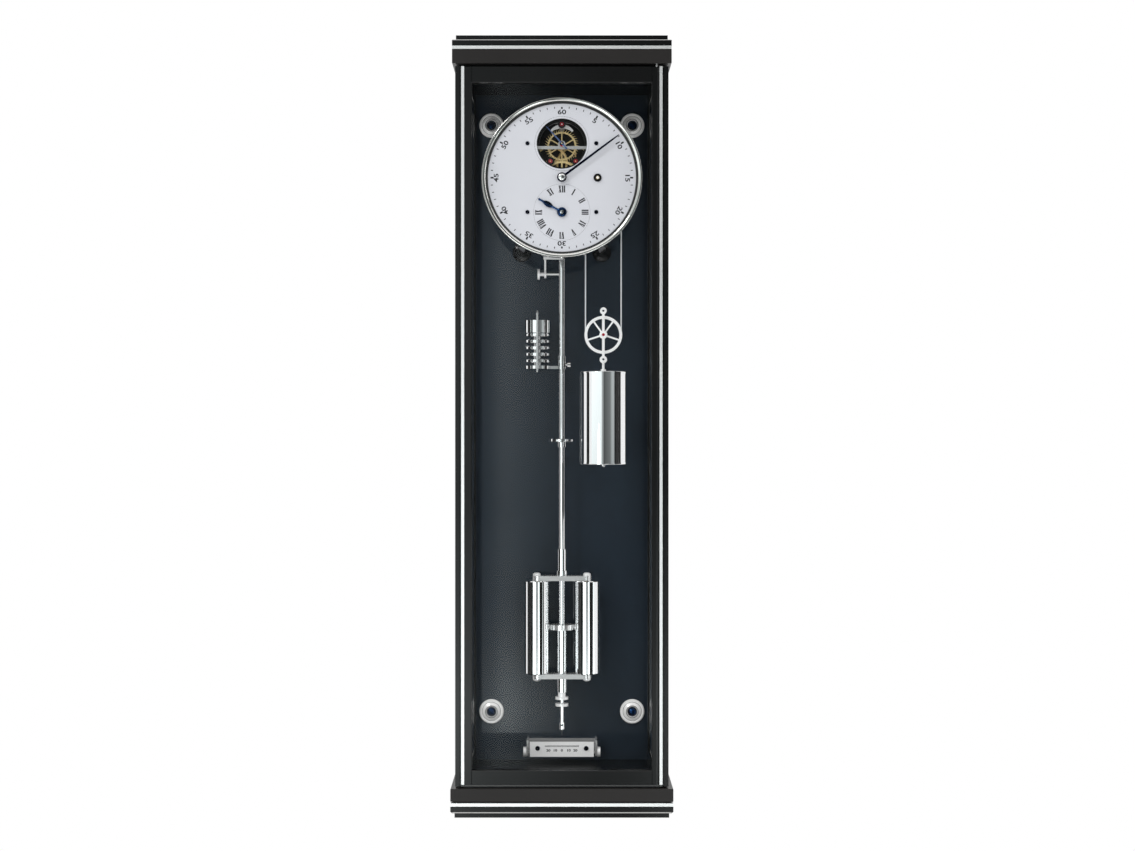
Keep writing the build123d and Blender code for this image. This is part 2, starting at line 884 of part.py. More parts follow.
nut_top_depth = seat_depth + wall_nut_height
with BuildPart() as wall_nuts:
    for fixing in fixings:
        turned_y(
            fixing,
            (
                (fixing_hole_radius, seat_depth),
                (wall_nut_radius, seat_depth),
                (wall_nut_radius, seat_depth + wall_nut_height * 0.45),
                (wall_nut_radius * 0.85, seat_depth + wall_nut_height * 0.72),
                (wall_nut_radius * 0.5, seat_depth + wall_nut_height * 0.94),
                (0, nut_top_depth),
                (0, nut_top_depth - wall_nut_cap),
                (fixing_hole_radius, nut_top_depth - wall_nut_cap - 0.8),
            ),
        )
keep(wall_nuts, "wall_nuts")

# ---- door ----
glass_front = door_back + bead_thickness + door_glass_thickness
with BuildPart() as door_frame:
    for side in (-1, 1):
        block(
            sorted((side * opening_half, side * door_half)),
            (door_back, body_depth),
            (door_bottom, door_top),
        )
    hinge_edge = door_frame.edges().filter_by(Axis.Z).group_by(Axis.Y)[0].sort_by(Axis.X)[-1]
    fillet(hinge_edge, hinge_inset - 0.01)
    rail_xs = (-opening_half + joint_gap, opening_half - joint_gap)
    block(rail_xs, (door_back, body_depth), (opening_top, door_top))
    block(rail_xs, (door_back, body_depth), (door_bottom, opening_bottom))
    block(
        (-opening_half - rebate_width, opening_half + rebate_width),
        (door_back, glass_front),
        (opening_bottom - rebate_width, opening_top + rebate_width),
        Mode.SUBTRACT,
    )
    inner_edges = (
        door_frame.edges()
        .group_by(Axis.Y)[0]
        .filter_by(lambda edge: abs(edge.center().X) < opening_half + arris)
        .filter_by(lambda edge: opening_bottom - arris < edge.center().Z < opening_top + arris)
    )
    chamfer(inner_edges.filter_by(lambda edge: edge.length > door_half), arris)
    for pin_heights in (
        (door_bottom, door_bottom + hinge_pin_in_door + 0.5),
        (door_top - hinge_pin_in_door - 0.5, door_top),
    ):
        rod_z(hinge_x, hinge_depth, pin_heights, hinge_pin_radius + pivot_gap, Mode.SUBTRACT)
keep(door_frame, "door_frame")

pane_half = opening_half + rebate_width - joint_gap
pane_heights = (opening_bottom - rebate_width + joint_gap, opening_top + rebate_width - joint_gap)
with BuildPart() as door_glass:
    block((-pane_half, pane_half), (glass_front - door_glass_thickness, glass_front), pane_heights)
keep(door_glass, "door_glass")

with BuildPart() as door_beads:
    bead_depths = (door_back, door_back + bead_thickness)
    for side in (-1, 1):
        block(sorted((side * opening_half, side * pane_half)), bead_depths, pane_heights)
    bead_xs = (-opening_half + joint_gap, opening_half - joint_gap)
    block(bead_xs, bead_depths, (pane_heights[0], opening_bottom))
    block(bead_xs, bead_depths, (opening_top, pane_heights[1]))
keep(door_beads, "door_beads")

with BuildPart() as hinge_pins:
    rod_z(
        hinge_x,
        hinge_depth,
        (plinth_top - hinge_pin_in_case, door_bottom + hinge_pin_in_door),
        hinge_pin_radius,
    )
    rod_z(
        hinge_x,
        hinge_depth,
        (door_top - hinge_pin_in_door, frieze_bottom + hinge_pin_in_case),
        hinge_pin_radius,
    )
keep(hinge_pins, "hinge_pins")

# ---- movement bracket on the back panel ----
bracket_front = panel_front + bracket_thickness
boss_front = bracket_front + bracket_boss_rise
column_front = boss_front + bracket_column_length
with BuildPart() as movement_bracket:
    for side in (-1, 1):
        block(
            sorted((side * bracket_inner, side * bracket_outer)),
            (panel_front, bracket_front),
            (dial_height + bracket_bottom, dial_height + bracket_top),
        )
    for rise in (-bracket_post_z, bracket_post_z):
        bar_low = dial_height + rise - bracket_bar_height / 2
        block(
            (-bracket_outer, bracket_outer),
            (panel_front, bracket_front),
            (bar_low, bar_low + bracket_bar_height),
        )
    for post in post_centres:
        rod_y(post, (bracket_front, rear_plate_depth), bracket_post_radius)
    for boss in bracket_bosses:
        turned_y(
            boss,
            (
                (0, panel_front),
                (bracket_boss_radius, panel_front),
                (bracket_boss_radius, boss_front - 3 * bracket_boss_rise),
                (bracket_boss_radius - bracket_boss_rise, boss_front - bracket_boss_rise),
                (bracket_boss_radius - 3 * bracket_boss_rise, boss_front),
                (bracket_column_radius, boss_front),
                (bracket_column_radius, column_front),
                (0, column_front),
            ),
        )
    for boss in bracket_bosses:
        rod_y(boss, (panel_front, column_front), bracket_screw_radius + seat_gap, Mode.SUBTRACT)
keep(movement_bracket, "movement_bracket")

# ---- steel screws: bracket, plate pillars, beat scale ----
scale_back = pendulum_depth - scale_thickness / 2
scale_front = scale_back + scale_thickness
screw_end = board_thickness / 2
with BuildPart() as steel_screws:
    for boss in bracket_bosses:
        rod_y(boss, (screw_end, column_front + 0.5), bracket_screw_radius)
        rod_y(boss, (column_front, column_front + bracket_screw_head), 2 * bracket_screw_radius)
    for pillar in pillar_centres:
        rod_y(pillar, (rear_plate_depth - screw_head_height, rear_plate_depth), screw_head_radius)
        rod_y(
            pillar, (front_plate_front, front_plate_front + screw_head_height), screw_head_radius
        )
    for side in (-1, 1):
        screw = (side * scale_screw_offset, scale_screw_height)
        rod_y(screw, (scale_back - 4, scale_front + 0.5), scale_screw_radius)
        rod_y(screw, (scale_front + 0.05, scale_front + 1.3), 2 * scale_screw_radius)
keep(steel_screws, "steel_screws")

# ---- movement plates ----
pivots = [third_centre, intermediate_centre, pallet_centre]


def hand_cap(middle, back, rise, bore, bore_front):
    """Add the domed boss of a hand, with a blind bore for its arbor."""
    base = back + hand_thickness * 0.8
    turns = [pi / 2 * step / 10 for step in range(10)]
    dome = [(hand_boss_radius * cos(turn), base + rise * sin(turn)) for turn in turns]
    turned_y(middle, ((bore, base), *dome, (0, base + rise), (0, bore_front), (bore, bore_front)))


def plate_outline(depth):
    """Add one movement plate with rounded corners."""
    with BuildSketch(Plane.XZ.offset(depth)) as section:
        with Locations(
            ((plate_left + plate_right) / 2, dial_height + (plate_bottom + plate_top) / 2)
        ):
            RectangleRounded(plate_right - plate_left, plate_top - plate_bottom, plate_corner)
    extrude(section.sketch, amount=plate_thickness)


with BuildPart() as rear_plate:
    plate_outline(rear_plate_depth)
    through = (rear_plate_depth, rear_plate_front)
    for pivot in (third_centre, intermediate_centre, seconds_centre):
        rod_y(pivot, through, pivot_radius + pivot_gap, Mode.SUBTRACT)
    rod_y(pallet_centre, through, arbor_radius + 2.0, Mode.SUBTRACT)
    rod_y(centre, through, centre_arbor_radius + pivot_gap, Mode.SUBTRACT)
    rod_y(drum_centre, through, drum_arbor_radius - 1 + pivot_gap, Mode.SUBTRACT)
keep(rear_plate, "rear_plate")

with BuildPart() as front_plate:
    plate_outline(front_plate_back)
    through = (front_plate_back, front_plate_front)
    rod_y(seconds_centre, through, cutout_radius, Mode.SUBTRACT)
    for pivot in pivots:
        rod_y(pivot, through, pivot_boss_radius)
    for pivot in pivots:
        rod_y(pivot, through, pivot_radius + pivot_gap, Mode.SUBTRACT)
        jewel_seat = (front_plate_front - jewel_thickness, front_plate_front)
        rod_y(pivot, jewel_seat, jewel_radius + seat_gap, Mode.SUBTRACT)
    rod_y(centre, through, centre_arbor_radius + pivot_gap, Mode.SUBTRACT)
    rod_y(drum_centre, through, drum_arbor_radius - 1 + pivot_gap, Mode.SUBTRACT)
    for stub in (hour_centre, motion_centre):
        rod_y(stub, through, pivot_radius + pivot_gap, Mode.SUBTRACT)
keep(front_plate, "front_plate")

# ---- pillars between the plates, and the four that carry the dial ----
with BuildPart() as pillars:
    for pillar in pillar_centres:
        rod_y(pillar, (rear_plate_front, front_plate_back), pillar_radius)
    for pillar in dial_pillar_centres:
        rod_y(pillar, (front_plate_front, dial_back), dial_pillar_radius)
        rod_y(pillar, (dial_back - 6, dial_back), dial_screw_radius / 2 + seat_gap, Mode.SUBTRACT)
keep(pillars, "pillars")

# ---- cocks: escape bridge in front, suspension cock behind, with the chop that holds the spring ----
bridge_back = front_plate_front
bridge_front = bridge_back + 2.5
cock_half = 22.0
cock_bottom = swing_height - cock_below_pivot
cock_top = swing_height + cock_above_pivot
with BuildPart() as cocks:
    bridge_end = cutout_radius + 5.0
    bar_heights = (seconds_centre[1] - 6.0, seconds_centre[1] - 2.0)
    block((-bridge_end, bridge_end), (bridge_back, bridge_front), bar_heights)
    rod_y(seconds_centre, (bridge_back, bridge_front), pivot_boss_radius)
    rod_y(seconds_centre, (bridge_back, bridge_front), jewel_radius + seat_gap, Mode.SUBTRACT)
    block((-cock_half, cock_half), (cock_back, cock_front), (cock_bottom, cock_top))
    for side in (-1, 1):
        block(
            sorted((side * (cock_half - 4), side * cock_half)),
            (cock_front, rear_plate_depth),
            (cock_bottom, cock_top),
        )
    rod_y(pallet_centre, (cock_back, cock_front), pivot_radius + pivot_gap, Mode.SUBTRACT)
    block((-7, 7), (pendulum_depth - 7, cock_back), (swing_height + spring_length, cock_top))
keep(cocks, "cocks")

# ---- jewels: three in the front plate, one in the escape bridge ----
with BuildPart() as jewels:
    for pivot in pivots:
        rod_y(pivot, (front_plate_front - jewel_thickness, front_plate_front), jewel_radius)
        rod_y(
            pivot,
            (front_plate_front - jewel_thickness, front_plate_front),
            pivot_radius + pivot_gap,
            Mode.SUBTRACT,
        )
    rod_y(seconds_centre, (bridge_back, bridge_front), jewel_radius)
    rod_y(seconds_centre, (bridge_back, bridge_front), pivot_radius + pivot_gap, Mode.SUBTRACT)
keep(jewels, "jewels")

# ---- dial, bezel and dial screws ----
with BuildPart() as dial:
    rod_y(centre, (dial_back, dial_front), dial_radius)
    through = (dial_back, dial_front)
    rod_y(seconds_centre, through, aperture_radius, Mode.SUBTRACT)
    rod_y(centre, through, centre_arbor_radius + 1.0, Mode.SUBTRACT)
    rod_y(hour_centre, through, arbor_radius + 1.0, Mode.SUBTRACT)
    rod_y(drum_centre, through, winding_hole_radius, Mode.SUBTRACT)
    for pillar in dial_pillar_centres:
        rod_y(pillar, through, dial_screw_radius / 2 + seat_gap, Mode.SUBTRACT)
keep(dial, "dial")

bezel_inner = dial_radius - bezel_lip
bezel_back = dial_back - bezel_behind_dial
bezel_front = bezel_back + bezel_depth
ring_inner = bezel_radius - bezel_ring_width
lip_front = dial_front + bezel_lip_thickness
with BuildPart() as bezel:
    turned_y(
        centre,
        (
            (dial_radius + joint_gap, bezel_back),
            (bezel_radius, bezel_back),
            (bezel_radius, bezel_front - 0.38 * bezel_ring_width),
            (bezel_radius - 0.10 * bezel_ring_width, bezel_front - 0.15 * bezel_ring_width),
            (bezel_radius - 0.30 * bezel_ring_width, bezel_front),
            (bezel_radius - 0.70 * bezel_ring_width, bezel_front),
            (bezel_radius - 0.90 * bezel_ring_width, bezel_front - 0.10 * bezel_ring_width),
            (ring_inner, bezel_front - 0.30 * bezel_ring_width),
            (ring_inner, lip_front),
            (bezel_inner, lip_front),
            (bezel_inner, dial_front),
            (dial_radius + joint_gap, dial_front),
        ),
    )
keep(bezel, "bezel")

with BuildPart() as dial_screws:
    for pillar in dial_pillar_centres:
        rod_y(pillar, (dial_back - 5, dial_front + 0.4), dial_screw_radius / 2)
        rod_y(pillar, (dial_front, dial_front + 0.9), dial_screw_radius)
keep(dial_screws, "dial_screws")

# ---- great wheel with its click ----
with BuildPart() as great_wheel:
    train_wheel(
        drum_centre,
        great_layer,
        great_wheel_thickness,
        great_wheel_teeth,
        great_phase,
        ratchet_radius + 2 * click_radius,
        6,
    )
    rod_y(
        drum_centre,
        (great_layer, great_layer + great_wheel_thickness),
        drum_arbor_radius + pivot_gap,
        Mode.SUBTRACT,
    )
    click = (drum_centre[0] - ratchet_radius - click_radius - free_gap, drum_centre[1])
    rod_y(click, (great_layer, ratchet_layer + ratchet_thickness), click_radius)
keep(great_wheel, "great_wheel")

# ---- drum with its ratchet, and the winding arbor ----
drum_core = drum_line_radius - line_radius - free_gap
flange_radius = drum_line_radius + drum_flange
drum_front = drum_layer + drum_length
with BuildPart() as drum:
    rod_y(drum_centre, (drum_layer, drum_front), drum_core)
    rod_y(drum_centre, (drum_layer, drum_layer + drum_flange_thickness), flange_radius)
    rod_y(drum_centre, (drum_front - drum_flange_thickness, drum_front), flange_radius)
    with BuildSketch(Plane.XZ.offset(ratchet_layer)) as ratchet_section:
        with BuildLine():
            Polyline(
                *[
                    polar(drum_centre, radius, 2 * pi * (tooth + turn) / ratchet_teeth)
                    for tooth in range(ratchet_teeth)
                    for radius, turn in (
                        (ratchet_radius - ratchet_tooth_height, 0.0),
                        (ratchet_radius, 0.9),
                    )
                ],
                close=True,
            )
        make_face()
    extrude(ratchet_section.sketch, amount=drum_layer - ratchet_layer)
    rod_y(drum_centre, (drum_front, front_plate_back - 0.4), drum_arbor_radius)
    rod_y(drum_centre, (rear_plate_front + 0.4, drum_layer), drum_arbor_radius)
    rod_y(drum_centre, (rear_plate_depth + 0.5, rear_plate_front + 1), drum_arbor_radius - 1)
    rod_y(drum_centre, (front_plate_back - 1, front_plate_front + 1), drum_arbor_radius - 1)
    square_xs = (winding_offset - winding_square / 2, winding_offset + winding_square / 2)
    square_heights = (dial_height - winding_square / 2, dial_height + winding_square / 2)
    block(square_xs, (front_plate_front, dial_front + 2), square_heights)
keep(drum, "drum")

# ---- the line: wound on the drum, falling run, returning run, loop under the pulley. The ----
# ---- middle place on the drum is empty, because the falling run leaves the drum there ----
wound_pitch = (drum_length - 2 * drum_flange_thickness) / drum_turns
with BuildPart() as drum_line:
    for turn in range(drum_turns):
        if turn == drum_turns // 2:
            continue
        ring_depth = drum_layer + drum_flange_thickness + (turn + 0.5) * wound_pitch
        rod_y(
            drum_centre,
            (ring_depth - line_radius, ring_depth + line_radius),
            drum_line_radius + line_radius,
        )
        rod_y(
            drum_centre,
            (ring_depth - line_radius, ring_depth + line_radius),
            drum_core + seat_gap,
            Mode.SUBTRACT,
        )
keep(drum_line, "drum_line")

anchor_pillar_bottom = pillar_centres[-1][1] - pillar_radius
with BuildPart() as falling_line:
    rod_z(fall_x, weight_depth, (pulley_height, dial_height), line_radius)
keep(falling_line, "falling_line")

with BuildPart() as returning_line:
    rod_z(return_x, weight_depth, (pulley_height, anchor_pillar_bottom), line_radius)
keep(returning_line, "returning_line")

with BuildPart() as line_loop:
    loop_plane = Plane(origin=(pulley_x, -weight_depth, pulley_height), z_dir=(0, 0, 1))
    with BuildSketch(loop_plane) as loop_section:
        with Locations((pulley_line_radius, 0)):
            Circle(line_radius)
    pulley_axis = Axis((pulley_x, -weight_depth, pulley_height), (0, 1, 0))
    revolve(loop_section.sketch, pulley_axis, 180)
keep(line_loop, "line_loop")

# ---- pulley, bail with hook, weight ----
pulley_centre = (pulley_x, pulley_height)
with BuildPart() as pulley:
    pulley_back = weight_depth - pulley_thickness / 2
    rim_inner = pulley_radius - pulley_rim
    with BuildSketch(Plane.XZ.offset(pulley_back)) as pulley_section:
        with Locations(pulley_centre):
            Circle(pulley_radius)
            Circle(rim_inner, mode=Mode.SUBTRACT)
    extrude(pulley_section.sketch, amount=pulley_thickness)
    with BuildSketch(Plane.XZ.offset(weight_depth - 1.2)) as spoke_section:
        with Locations(pulley_centre):
            with PolarLocations((rim_inner + pulley_hub_radius) / 2, 5, start_angle=54):
                Rectangle(rim_inner - pulley_hub_radius + 1.0, 2.2)
    extrude(spoke_section.sketch, amount=2.4)
    rod_y(pulley_centre, (pulley_back - 1, pulley_back + pulley_thickness + 1), pulley_hub_radius)
    rod_y(
        pulley_centre,
        (pulley_back - 1, pulley_back + pulley_thickness + 1),
        pulley_pin_radius + pivot_gap,
        Mode.SUBTRACT,
    )
    groove_bottom = pulley_line_radius - line_radius - free_gap
    turned_y(
        pulley_centre,
        (
            (groove_bottom, weight_depth - line_radius - 0.1),
            (groove_bottom, weight_depth + line_radius + 0.1),
            (pulley_radius + 0.5, weight_depth + line_radius + 1.1),
            (pulley_radius + 0.5, weight_depth - line_radius - 1.1),
        ),
        Mode.SUBTRACT,
    )
keep(pulley, "pulley")

with BuildPart() as bail:
    strap_far = strap_offset + strap_thickness
    for strap_back in (weight_depth - strap_far, weight_depth + strap_offset):
        block(
            (pulley_x - strap_width / 2, pulley_x + strap_width / 2),
            (strap_back, strap_back + strap_thickness),
            (bail_bottom, bail_top),
        )
        for boss_height in (bail_bottom, bail_top):
            rod_y(
                (pulley_x, boss_height), (strap_back, strap_back + strap_thickness), bail_boss_radius
            )
        rod_y(pulley_centre, (strap_back, strap_back + strap_thickness), pulley_hub_radius - 0.8)
        for eye in (bail_bottom, bail_top):
            rod_y(
                (pulley_x, eye),
                (strap_back, strap_back + strap_thickness),
                bail_eye_radius,
                Mode.SUBTRACT,
            )
    through = (weight_depth - strap_far + 0.5, weight_depth + strap_far - 0.5)
    rod_y(pulley_centre, through, pulley_pin_radius)
    for eye in (bail_bottom, bail_top):
        rod_y((pulley_x, eye), through, bail_tube_radius)
        rod_y((pulley_x, eye), through, bail_eye_radius, Mode.SUBTRACT)
    hook_ring = bail_tube_radius + hook_wire_radius + 0.5
    hook_centre = bail_bottom - free_gap
    hook_plane = Plane(origin=(pulley_x, -weight_depth, hook_centre), z_dir=(0, 0, 1))
    with BuildSketch(hook_plane) as wire_section:
        with Locations((hook_ring, 0)):
            Circle(hook_wire_radius)
    revolve(wire_section.sketch, Axis((pulley_x, -weight_depth, hook_centre), (0, 1, 0)), 360)
    rod_z(pulley_x, weight_depth, (weight_top, hook_centre - hook_ring), 1.6)
    rod_z(pulley_x, weight_depth, (weight_top, weight_top + 3.0), 3.4)
keep(bail, "bail")

with BuildPart() as weight:
    weight_bottom = weight_top - weight_length
    cap_radius = weight_radius + weight_cap_rim
    rod_z(pulley_x, weight_depth, (weight_bottom, weight_top), weight_radius)
    for cap_bottom in (weight_bottom, weight_top - weight_cap_height):
        rod_z(pulley_x, weight_depth, (cap_bottom, cap_bottom + weight_cap_height), cap_radius)
    rims = weight.edges().filter_by(GeomType.CIRCLE).group_by(Axis.Z)
    fillet(rims[0] + rims[-1], weight_cap_height / 3)
    turned_z(
        pulley_x,
        weight_depth,
        (
            (0, weight_bottom + 1),
            (2.4, weight_bottom + 1),
            (2.4, weight_bottom - 2.2),
            (1.2, weight_bottom - 3.6),
            (0, weight_bottom - 3.6),
        ),
    )
keep(weight, "weight")

# ---- intermediate, centre and third arbors with their wheels and pinions ----
with BuildPart() as intermediate_wheel:
    train_wheel(
        intermediate_centre,
        intermediate_layer,
        wheel_thickness,
        intermediate_wheel_teeth,
        intermediate_phase,
    )
    pinion(
        intermediate_centre,
        (great_layer - pinion_extra / 2, great_layer + great_wheel_thickness + pinion_extra / 2),
        intermediate_pinion_teeth,
        0,
    )
    plate_arbor(intermediate_centre)
keep(intermediate_wheel, "intermediate_wheel")

with BuildPart() as centre_wheel:
    train_wheel(centre, centre_layer, wheel_thickness, centre_wheel_teeth, 0)
    pinion(
        centre,
        (
            intermediate_layer - pinion_extra / 2,
            intermediate_layer + wheel_thickness + pinion_extra / 2,
        ),
        centre_pinion_teeth,
        0,
    )
    pinion(centre, (motion_layer - 0.2, motion_layer + wheel_thickness), cannon_pinion_teeth, 0)
    rod_y(centre, (rear_plate_depth + 0.5, centre_arbor_front), centre_arbor_radius)
keep(centre_wheel, "centre_wheel")

with BuildPart() as third_wheel:
    train_wheel(third_centre, third_layer, wheel_thickness, third_wheel_teeth, 0, 3.4)
    pinion(
        third_centre,
        (centre_layer - pinion_extra / 2, centre_layer + wheel_thickness + pinion_extra / 2),
        third_pinion_teeth,
        third_phase,
    )
    plate_arbor(third_centre)
keep(third_wheel, "third_wheel")

# ---- escape wheel: pointed teeth leaning the way they turn (clockwise from the front) ----
escape_pitch = 2 * pi / escape_teeth
escape_root = escape_radius - escape_tooth_height
escape_lean = escape_pitch * 0.45
tip_bearing = radians(0.27)
escape_outline = [
    (
        seconds_centre[0] + radius * sin(tip_bearing + tooth * escape_pitch + turn),
        seconds_centre[1] + radius * cos(tip_bearing + tooth * escape_pitch + turn),
    )
    for tooth in range(escape_teeth)
    for radius, turn in (
        (escape_root, -escape_lean - escape_pitch * 0.22),
        (escape_radius, -escape_pitch * 0.06),
        (escape_radius, 0.0),
        (escape_root, -escape_lean + escape_pitch * 0.12),
    )
]
with BuildPart() as escape_wheel:
    wheel(
        seconds_centre,
        (escape_layer, escape_layer + escape_wheel_thickness),
        escape_outline,
        escape_root - 2.0,
        3.2,
        6,
        1.4,
    )
    pinion(
        seconds_centre,
        (third_layer - pinion_extra / 2, third_layer + wheel_thickness + pinion_extra / 2),
        escape_pinion_teeth,
        escape_phase,
    )
    plate_arbor(seconds_centre, hour_arbor_front)
keep(escape_wheel, "escape_wheel")

# ---- anchor with its two pallets and the pallet arbor ----
anchor_layer = escape_layer + (escape_wheel_thickness - anchor_thickness) / 2
pallet_turn = radians(anchor_span / 2)
band_inner = escape_radius + 0.9
with BuildPart() as anchor:
    with BuildSketch(Plane.XZ.offset(anchor_layer)) as anchor_section:
        band_sweep = radians(90) - pallet_turn - radians(3)
        with BuildLine():
            inner_start = polar(seconds_centre, band_inner, band_sweep)
            inner_end = polar(seconds_centre, band_inner, pi - band_sweep)
            outer_start = polar(seconds_centre, band_inner + anchor_band * 0.6, band_sweep)
            outer_end = polar(seconds_centre, band_inner + anchor_band * 0.6, pi - band_sweep)
            top = (seconds_centre[0], seconds_centre[1] + band_inner + anchor_band * 1.6)
            ThreePointArc(inner_start, polar(seconds_centre, band_inner, pi / 2), inner_end)
            Line(inner_end, outer_end)
            ThreePointArc(outer_end, top, outer_start)
            Line(outer_start, inner_start)
        make_face()
        with Locations(pallet_centre):
            Circle(3.6)
        for side in (-1, 1):
            bearing = pi / 2 - side * pallet_turn
            pallet_middle = polar(seconds_centre, escape_radius + 0.3 + 1.1, bearing)
            with Locations(Location((*pallet_middle, 0), (0, 0, -side * anchor_span / 2))):
                Rectangle(pallet_width, 2.2)
    extrude(anchor_section.sketch, amount=anchor_thickness)
    rod_y(
        pallet_centre, (cock_back + 0.5, front_plate_back + plate_thickness - 0.5), pivot_radius
    )
    rod_y(pallet_centre, (cock_front + 0.4, front_plate_back - 0.4), arbor_radius)
keep(anchor, "anchor")

# ---- crutch: from the pallet arbor down behind the dial to the beat screw ----
with BuildPart() as crutch:
    half_bar = crutch_thickness / 2
    bar_depths = (crutch_depth - half_bar, crutch_depth + half_bar)
    rod_y(pallet_centre, (crutch_depth - 2.5, crutch_depth + 2.5), 4.0)
    block(
        (-crutch_width / 2, crutch_width / 2),
        bar_depths,
        (crutch_arm_height - 2, swing_height),
    )
    block(
        (-crutch_arm_offset - 2, 0), bar_depths, (crutch_arm_height - 2, crutch_arm_height + 2)
    )
    rod_y((-crutch_arm_offset, crutch_arm_height), (pendulum_depth - 1.5, crutch_depth + 2.2), 1.5)
    block(
        (-crutch_arm_offset - 1.2, -crutch_arm_offset + 1.2),
        (pendulum_depth - 1, pendulum_depth + 1),
        (beat_screw_height, crutch_arm_height),
    )
    eye_xs = (-crutch_arm_offset - eye_width / 2, -crutch_arm_offset + eye_width / 2)
    rod_x(eye_xs, pendulum_depth, beat_screw_height, eye_radius)
    rod_x(eye_xs, pendulum_depth, beat_screw_height, beat_screw_radius + pivot_gap, Mode.SUBTRACT)
    rod_y(pallet_centre, (crutch_depth - 3, crutch_depth + 3), arbor_radius + seat_gap, Mode.SUBTRACT)
keep(crutch, "crutch")

with BuildPart() as beat_screw:
    knob_xs = (-beat_knob_offset - beat_knob_width / 2, -beat_knob_offset + beat_knob_width / 2)
    rod_x(knob_xs, pendulum_depth, beat_screw_height, beat_knob_radius)
    rod_x((knob_xs[0], -rod_radius + 1.5), pendulum_depth, beat_screw_height, beat_screw_radius)
    rod_x(
        (knob_xs[1], -crutch_arm_offset - eye_width / 2 - free_gap),
        pendulum_depth,
        beat_screw_height,
        2.4,
    )
keep(beat_screw, "beat_screw")

# ---- motion work: wheel between the centre arbor and the hour wheel ----
with BuildPart() as motion_wheel:
    train_wheel(motion_centre, motion_layer, wheel_thickness, motion_wheel_teeth, motion_phase)
    pinion(
        motion_centre,
        (motion_layer + wheel_thickness, hour_layer + wheel_thickness),
        motion_pinion_teeth,
        0,
    )
    rod_y(motion_centre, (front_plate_back + 0.5, hour_layer), pivot_radius)
keep(motion_wheel, "motion_wheel")

with BuildPart() as hour_wheel:
    train_wheel(hour_centre, hour_layer, wheel_thickness, hour_wheel_teeth, hour_phase)
    rod_y(hour_centre, (front_plate_back + 0.5, hour_layer), pivot_radius)
    rod_y(hour_centre, (front_plate_front + free_gap, hour_arbor_front), arbor_radius)
keep(hour_wheel, "hour_wheel")

# ---- hands ----
with BuildPart() as minute_hand:
    hand_face = hand_plane(centre, minute_hand_depth, minute_hand_bearing)
    with BuildSketch(hand_face) as hand_section:
        with BuildLine():
            Polyline(
                (-minute_hand_width * 0.5, 0),
                (-minute_hand_width * 0.3, minute_hand_length * 0.75),
                (-minute_hand_width * 0.12, minute_hand_length),
                (minute_hand_width * 0.12, minute_hand_length),
                (minute_hand_width * 0.3, minute_hand_length * 0.75),
                (minute_hand_width * 0.5, 0),
                close=True,
            )
        make_face()
        Circle(hand_boss_radius)
        Circle(centre_arbor_radius + seat_gap, mode=Mode.SUBTRACT)
    extrude(hand_section.sketch, amount=hand_thickness)
    hand_cap(
        centre,
        minute_hand_depth,
        minute_cap_rise,
        centre_arbor_radius + seat_gap,
        centre_arbor_front + seat_gap,
    )
keep(minute_hand, "minute_hand")

with BuildPart() as hour_hand:
    hour_side = [
        (hour_hand_width * 0.5, 0),
        (hour_hand_width * 0.5, hour_hand_length * 0.36),
        (pear_width * 0.32, hour_hand_length * 0.42),
        (pear_width * 0.47, hour_hand_length * 0.49),
        (pear_width * 0.5, hour_hand_length * 0.54),
        (pear_width * 0.44, hour_hand_length * 0.60),
        (pear_width * 0.26, hour_hand_length * 0.68),
        (pear_width * 0.13, hour_hand_length * 0.77),
        (pear_width * 0.05, hour_hand_length),
    ]
    hand_face = hand_plane(hour_centre, hour_hand_depth, hour_hand_bearing)
    with BuildSketch(hand_face) as hand_section:
        with BuildLine():
            Polyline(*hour_side, *((-x, y) for x, y in reversed(hour_side)), close=True)
        make_face()
        Circle(hand_boss_radius)
        Circle(arbor_radius + seat_gap, mode=Mode.SUBTRACT)
    extrude(hand_section.sketch, amount=hand_thickness)
    hand_cap(
        hour_centre,
        hour_hand_depth,
        hand_cap_rise,
        arbor_radius + seat_gap,
        hour_arbor_front + seat_gap,
    )
keep(hour_hand, "hour_hand")

with BuildPart() as seconds_hand:
    hand_face = hand_plane(seconds_centre, hour_hand_depth, seconds_hand_bearing)
    with BuildSketch(hand_face) as hand_section:
        with BuildLine():
            Polyline(
                (-0.7, -seconds_hand_tail),
                (-0.25, seconds_hand_length),
                (0.25, seconds_hand_length),
                (0.7, -seconds_hand_tail),
                close=True,
            )
        make_face()
        Circle(2.6)
        Circle(pivot_radius + seat_gap, mode=Mode.SUBTRACT)
    extrude(hand_section.sketch, amount=hand_thickness * 0.6)
keep(seconds_hand, "seconds_hand")

# ---- suspension spring and pendulum rod ----
with BuildPart() as suspension_spring:
    block(
        (-spring_half_thickness, spring_half_thickness),
        (pendulum_depth - spring_half_width, pendulum_depth + spring_half_width),
        (chop_top - 1, swing_height + spring_length - free_gap / 2),
    )
    block(
        (-chop_half_thickness, chop_half_thickness),
        (pendulum_depth - spring_half_width - 1, pendulum_depth + spring_half_width + 1),
        (rod_top, chop_top),
    )
keep(suspension_spring, "suspension_spring")

